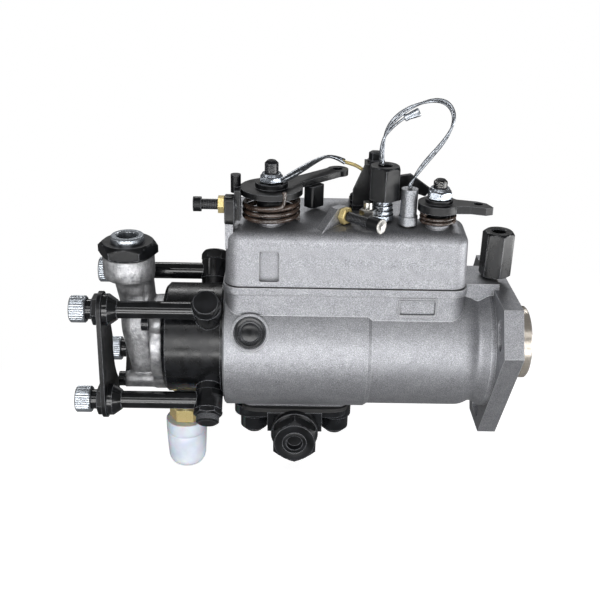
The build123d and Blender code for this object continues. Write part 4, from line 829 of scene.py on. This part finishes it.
# %% [markdown]
# Two springs inside shorten as their pistons travel. A merged copy of each stands in for the CAD solid,
# at the length that CAD gives it.


# %% Copies of the two inner springs
def shortening(name, source, axis, fixed):
    """Welded copy of a CAD spring in place of it; an anchor at a fixed height in metres along axis 0, 1 or
    2 is worked out but not used, so the copy keeps the CAD length.
    """
    made = merged_copy(name, source)
    applied(made)
    low, high = (np.array(corner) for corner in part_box(source))
    anchor = (low + high) / 2
    anchor[axis] = fixed
    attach(made, "casing")
    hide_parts(source)
    anchor = tuple(map(float, anchor))
    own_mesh(made)


shortening("advance_spring_coil", "advance_spring", 1, -0.0177)
shortening("regulating_spring_coil", "regulating_spring", 2, 0.0424)

# %% [markdown]
# Exposed screw ends carry real threads. Each one is wound over the shank of the CAD screw it belongs to.
# The idling screw ends in a turned face, and plated rings are stacked on the stud below the sealed
# sleeve.

# %% Threads, screw face and ring stack
gloss, bare = finishes["black_gloss"], finishes["steel"]
idle_way = np.array([0.729, -0.685, 0.0])
idle_foot = np.array([-106.0, -11.3, 87.4])
for name, foot, way, radius, length, finish, body in (
    ("maximum_screw_thread", (-187.4, -21.0, 95.6), (1, 0, 0), 3.12, 20.6, gloss, "casing"),
    ("throttle_shaft_thread", (*throttle_axis, 112.4), up, 4.1, 6.0, gloss, "throttle"),
    ("stop_shaft_thread", (*stop_axis, 106.0), up, 4.1, 3.9, bare, "stop"),
    ("idle_screw_thread", idle_foot + 5.4 * idle_way, idle_way, 3.12, 16.0, gloss, "casing"),
):
    threaded(name, foot, way, radius, length, finish, body)
    print(name, "turns", round(length / pitch, 1))
turned(
    "idle_screw_face",
    idle_foot + 29.9 * idle_way,
    idle_way,
    [(0.3, 0.0), (4.1, 0.0), (4.5, 0.1), (4.5, 0.2), (4.2, 0.45), (1.2, 0.45), (0.3, 0.2)],
    bare,
    "casing",
)
stack_profile = [(4.7, 0.0), (6.6, 0.0), (6.6, 2.6), (5.4, 3.0), (5.4, 3.6), (6.2, 3.9), (6.2, 5.4)]
stack_profile += [(5.0, 5.8), (5.0, 6.5), (5.8, 6.8), (5.8, 8.4), (4.8, 8.8), (4.8, 9.6), (5.4, 9.9)]
stack_profile += [(5.4, 11.4), (4.7, 11.5)]
turned("sleeve_ring_stack", (*seal_axis, 84.6), up, stack_profile, finishes["zinc_nut"], "casing")

# %% [markdown]
# The end of the throttle spring's top coil is bent upright and hooks over the edge of the lever's lower
# disc. A Catmull-Rom path goes through each of its points, which suits a wire that was bent round pins.


# %% Bent spring end
def tube(name, path, radius, finish, body, columns=20):
    """Round tube on a Catmull-Rom path: cubics from b to c with end slopes (c - a) / 2 and (d - b) / 2."""
    path = np.array(path, float)
    padded = np.vstack([2 * path[0] - path[1], path, 2 * path[-1] - path[-2]])
    rings = []
    for a, b, c, d in zip(padded, padded[1:], padded[2:], padded[3:]):
        for t in np.linspace(0, 1, 8, endpoint=False):
            square, cube = 2 * a - 5 * b + 4 * c - d, 3 * b - a - 3 * c + d
            rings.append(0.5 * (2 * b + (c - a) * t + square * t**2 + cube * t**3))
    rings = np.array(rings + [path[-1]])
    ways = np.gradient(rings, axis=0)
    side = axes(ways[0])[0]
    turn = np.linspace(0, 2 * np.pi, columns, endpoint=False)[:, None]
    grid = []
    for middle, way in zip(rings, ways):
        way = way / np.linalg.norm(way)
        side = side - way * side.dot(way)
        side /= np.linalg.norm(side)
        grid.append(middle + radius * (np.cos(turn) * side + np.sin(turn) * np.cross(way, side)))
    return skin(name, np.array(grid), finish, body)


hook_path = [(-160.5, -21.5, 94.5), (-155.0, -27.2, 95.2), (-147.0, -29.4, 96.0), (-141.0, -28.6, 97.0)]
hook_path += [(-139.6, -28.4, 101.0), (-139.6, -28.3, 105.6)]
hook = tube("throttle_spring_hook", hook_path, 1.2, finishes["black_spring"], "casing")
print(hook.name, "points", len(hook.data.vertices))

# %% [markdown]
# A raised bead frames a bare panel on the front wall. It is a thin tube round a rectangle with rounded
# corners: the signs of cosine and sine choose a corner, and the cosine and sine themselves go round it.

# %% Panel bead
corner_turn = np.radians(np.arange(0, 361, 15))
cosine, sine = np.cos(corner_turn), np.sin(corner_turn)
panel_x, panel_y, panel_z = -59.6, -30.45, 36.0
half_width, half_height, corner_radius = 9.9, 3.8, 0.9
panel_bead = np.stack(
    [
        panel_x + half_width * np.sign(np.round(cosine, 6)) + corner_radius * cosine,
        np.full(corner_turn.size, panel_y),
        panel_z + half_height * np.sign(np.round(sine, 6)) + corner_radius * sine,
    ],
    -1,
)
tube("panel_frame_bead", panel_bead, 0.45, finishes["blasted"], "casing", 12)
print("panel", 2 * (half_width + corner_radius), "by", 2 * (half_height + corner_radius), "mm")

# %% [markdown]
# One strand of the seal wire leaves the loop near its foot and ends in a crimped sleeve, a soft silver
# barrel squeezed on it. The throttle wire ends in a brass tip that points behind the black sleeve.

# %% Crimped tail and brass tip
tail_path = [(-84.8, -10.6, 127.0), (-83.4, -11.0, 133.6), (-79.7, -11.0, 138.7), (-75.7, -11.0, 142.6)]
tail_path += [(-71.8, -11.0, 145.4), (-66.0, -11.0, 148.2)]
tube("seal_tail", tail_path, 0.75, finishes["wire"], "casing")
crimp_profile = [(0.3, 0.0), (1.7, 0.0), (2.1, 0.5), (2.0, 3.0), (2.4, 5.2), (2.7, 8.6), (2.3, 9.2)]
crimp_profile += [(0.3, 9.0)]


def squeezed(r, h, turn):
    """Four flats from the crimping pliers: the radius falls by a share of the squared cosine of 2 t."""
    return r * (1 - 0.14 * np.cos(2 * turn) ** 2 * np.clip(h / 2, 0, 1))


crimp_foot, crimp_way = (-72.6, -11.0, 144.9), (7.6, 0.0, 3.5)
turned("crimp_sleeve", crimp_foot, crimp_way, crimp_profile, finishes["zinc"], "casing", 48, squeezed)
tip_path = [(-104.0, 37.4, 106.8), (-102.3, 38.4, 105.6), (-95.9, 38.5, 103.7), (-91.8, 38.0, 101.6)]
tip_path += [(-88.6, 37.4, 99.6)]
tube("throttle_wire_tip", tip_path, 1.15, finishes["brass"], "throttle")

# %% [markdown]
# The floor and the backdrop are one pale sheet. To the camera it is plain white; to the object it is a
# grey floor that gives a little light back from below. Near the object, the camera sees the floor's own
# white with the soft shadow on it, which fades into plain white further out.


# %% Floor
def studio_floor(height, reach=3.0, fade_start=0.22, fade_end=0.4):
    """White floor: the camera sees the shadow on it, which fades to pure white between two distances."""
    mesh = bpy.data.meshes.new("studio_floor")
    corners = [(-reach, -reach), (reach, -reach), (reach, reach), (-reach, reach)]
    mesh.from_pydata([(x, y, height) for x, y in corners], [], [(0, 1, 2, 3)])
    floor = bpy.data.objects.new("studio_floor", mesh)
    bpy.context.scene.collection.objects.link(floor)
    material, tree, dim = metal("pale_studio_floor", {"Base Color": linear("808080"), "Roughness": 0.9})
    pale = node(tree, "ShaderNodeBsdfDiffuse", {"Color": linear("F4F4F4")})
    glow = node(tree, "ShaderNodeEmission", {"Color": linear("FFFFFF"), "Strength": 0.6})
    near = node(tree, "ShaderNodeAddShader", links={0: pale.outputs[0], 1: glow.outputs[0]})
    far = node(tree, "ShaderNodeEmission", {"Color": linear("FFFFFF"), "Strength": 1.0})
    spot = node(tree, "ShaderNodeTexCoord").outputs["Object"]
    away = node(tree, "ShaderNodeVectorMath", {"operation": "LENGTH"}, {0: spot}).outputs["Value"]
    fade = node(tree, "ShaderNodeMapRange", {1: fade_start, 2: fade_end}, {0: away}).outputs[0]
    bright = node(tree, "ShaderNodeMixShader", links={0: fade, 1: near.outputs[0], 2: far.outputs[0]})
    to_camera = node(tree, "ShaderNodeLightPath").outputs["Is Camera Ray"]
    both = node(tree, "ShaderNodeMixShader", links={0: to_camera, 1: dim.outputs[0], 2: bright.outputs[0]})
    tree.links.new(both.outputs[0], tree.nodes["Material Output"].inputs["Surface"])
    mesh.materials.append(material)


studio_floor(cad_box[0][2] - 0.5 * MM)

# %% [markdown]
# The world round the scene gives a dim white light from all sides. Camera rays and rays through clear
# pieces see it as pure white.

# %% World
world = bpy.data.worlds.new("studio_world")
bpy.context.scene.world = world
world.use_nodes = True
tree = world.node_tree
sky = tree.nodes["Background"]
sky.inputs["Color"].default_value = linear("FFFFFF")
sky.inputs["Strength"].default_value = 0.14
white = node(tree, "ShaderNodeBackground", {"Color": linear("FFFFFF"), "Strength": 1.0})
ray = node(tree, "ShaderNodeLightPath").outputs
clear = {0: ray["Is Camera Ray"], 1: ray["Is Transmission Ray"]}
seen = node(tree, "ShaderNodeMath", {"operation": "MAXIMUM"}, clear)
shades = {0: seen.outputs[0], 1: sky.outputs[0], 2: white.outputs[0]}
shown = node(tree, "ShaderNodeMixShader", links=shades)
tree.links.new(shown.outputs[0], tree.nodes["World Output"].inputs["Surface"])

# %% [markdown]
# Six soft boxes light the pump. A large one in front gives the even light, strips low and high in front
# draw the long highlights on the round barrels, strips at both sides light the ends, and one behind edges
# the top.


# %% Lamps
def soft_box(name, place, target, width, height, watts):
    """Area lamp at a place in metres that faces a target."""
    lamp = bpy.data.lights.new(name, "AREA")
    lamp.shape = "RECTANGLE"
    lamp.size = width
    lamp.size_y = height
    lamp.energy = watts
    made = bpy.data.objects.new(name, lamp)
    bpy.context.scene.collection.objects.link(made)
    made.location = place
    made.rotation_euler = (Vector(target) - Vector(place)).to_track_quat("-Z", "Y").to_euler()


centre = (-0.13, 0.0, 0.02)
soft_box("low_front_strip", (-0.13, -0.42, -0.08), (-0.13, 0.0, 0.0), 1.0, 0.09, 2.5)
soft_box("front_box", (-0.2, -1.2, 0.3), centre, 1.2, 0.4, 8.6)
soft_box("left_strip", (-0.95, -0.35, 0.35), centre, 0.2, 0.7, 1.1)
soft_box("right_strip", (0.42, -0.12, -0.02), centre, 0.45, 0.14, 1.7)
soft_box("upper_front_strip", (-0.13, -0.75, 0.85), centre, 1.2, 0.12, 2.2)
soft_box("back_edge", (-0.13, 0.8, 0.7), centre, 1.0, 0.15, 3.5)
print("watts", round(sum(lamp.energy for lamp in bpy.data.lights), 1))

# %% [markdown]
# The camera stands in front of the pump and looks down at 24 degrees, with the lens of a short telephoto.
# Its three axes are worked out from three angles: the turn about the vertical, the tilt and a slight
# roll.

# %% Camera
azimuth, elevation, roll = (math.radians(angle) for angle in (-0.82, 24.12, 1.255))
aim, distance = np.array([-0.12914, 0.0, 0.02667]), 0.5621
focal_pixels, picture_pixels, sensor = 894.6, 600, 36.0
ahead = math.cos(elevation)
back = np.array([math.sin(azimuth) * ahead, -math.cos(azimuth) * ahead, math.sin(elevation)])
level = np.array([math.cos(azimuth), math.sin(azimuth), 0.0])
upright = np.cross(back, level)
right = math.cos(roll) * level + math.sin(roll) * upright
top = -math.sin(roll) * level + math.cos(roll) * upright
place = aim + distance * back
lens = bpy.data.cameras.new("view_camera")
lens.sensor_width = sensor
lens.lens = focal_pixels / picture_pixels * sensor
lens.clip_start = 0.01
camera = bpy.data.objects.new("view_camera", lens)
bpy.context.scene.collection.objects.link(camera)
camera.matrix_world = Matrix([[*row] for row in zip(right, top, back, place)] + [[0.0, 0.0, 0.0, 1.0]])
bpy.context.scene.camera = camera
bpy.context.scene.view_settings.view_transform = "Standard"
print("camera at", [round(v, 4) for v in place])
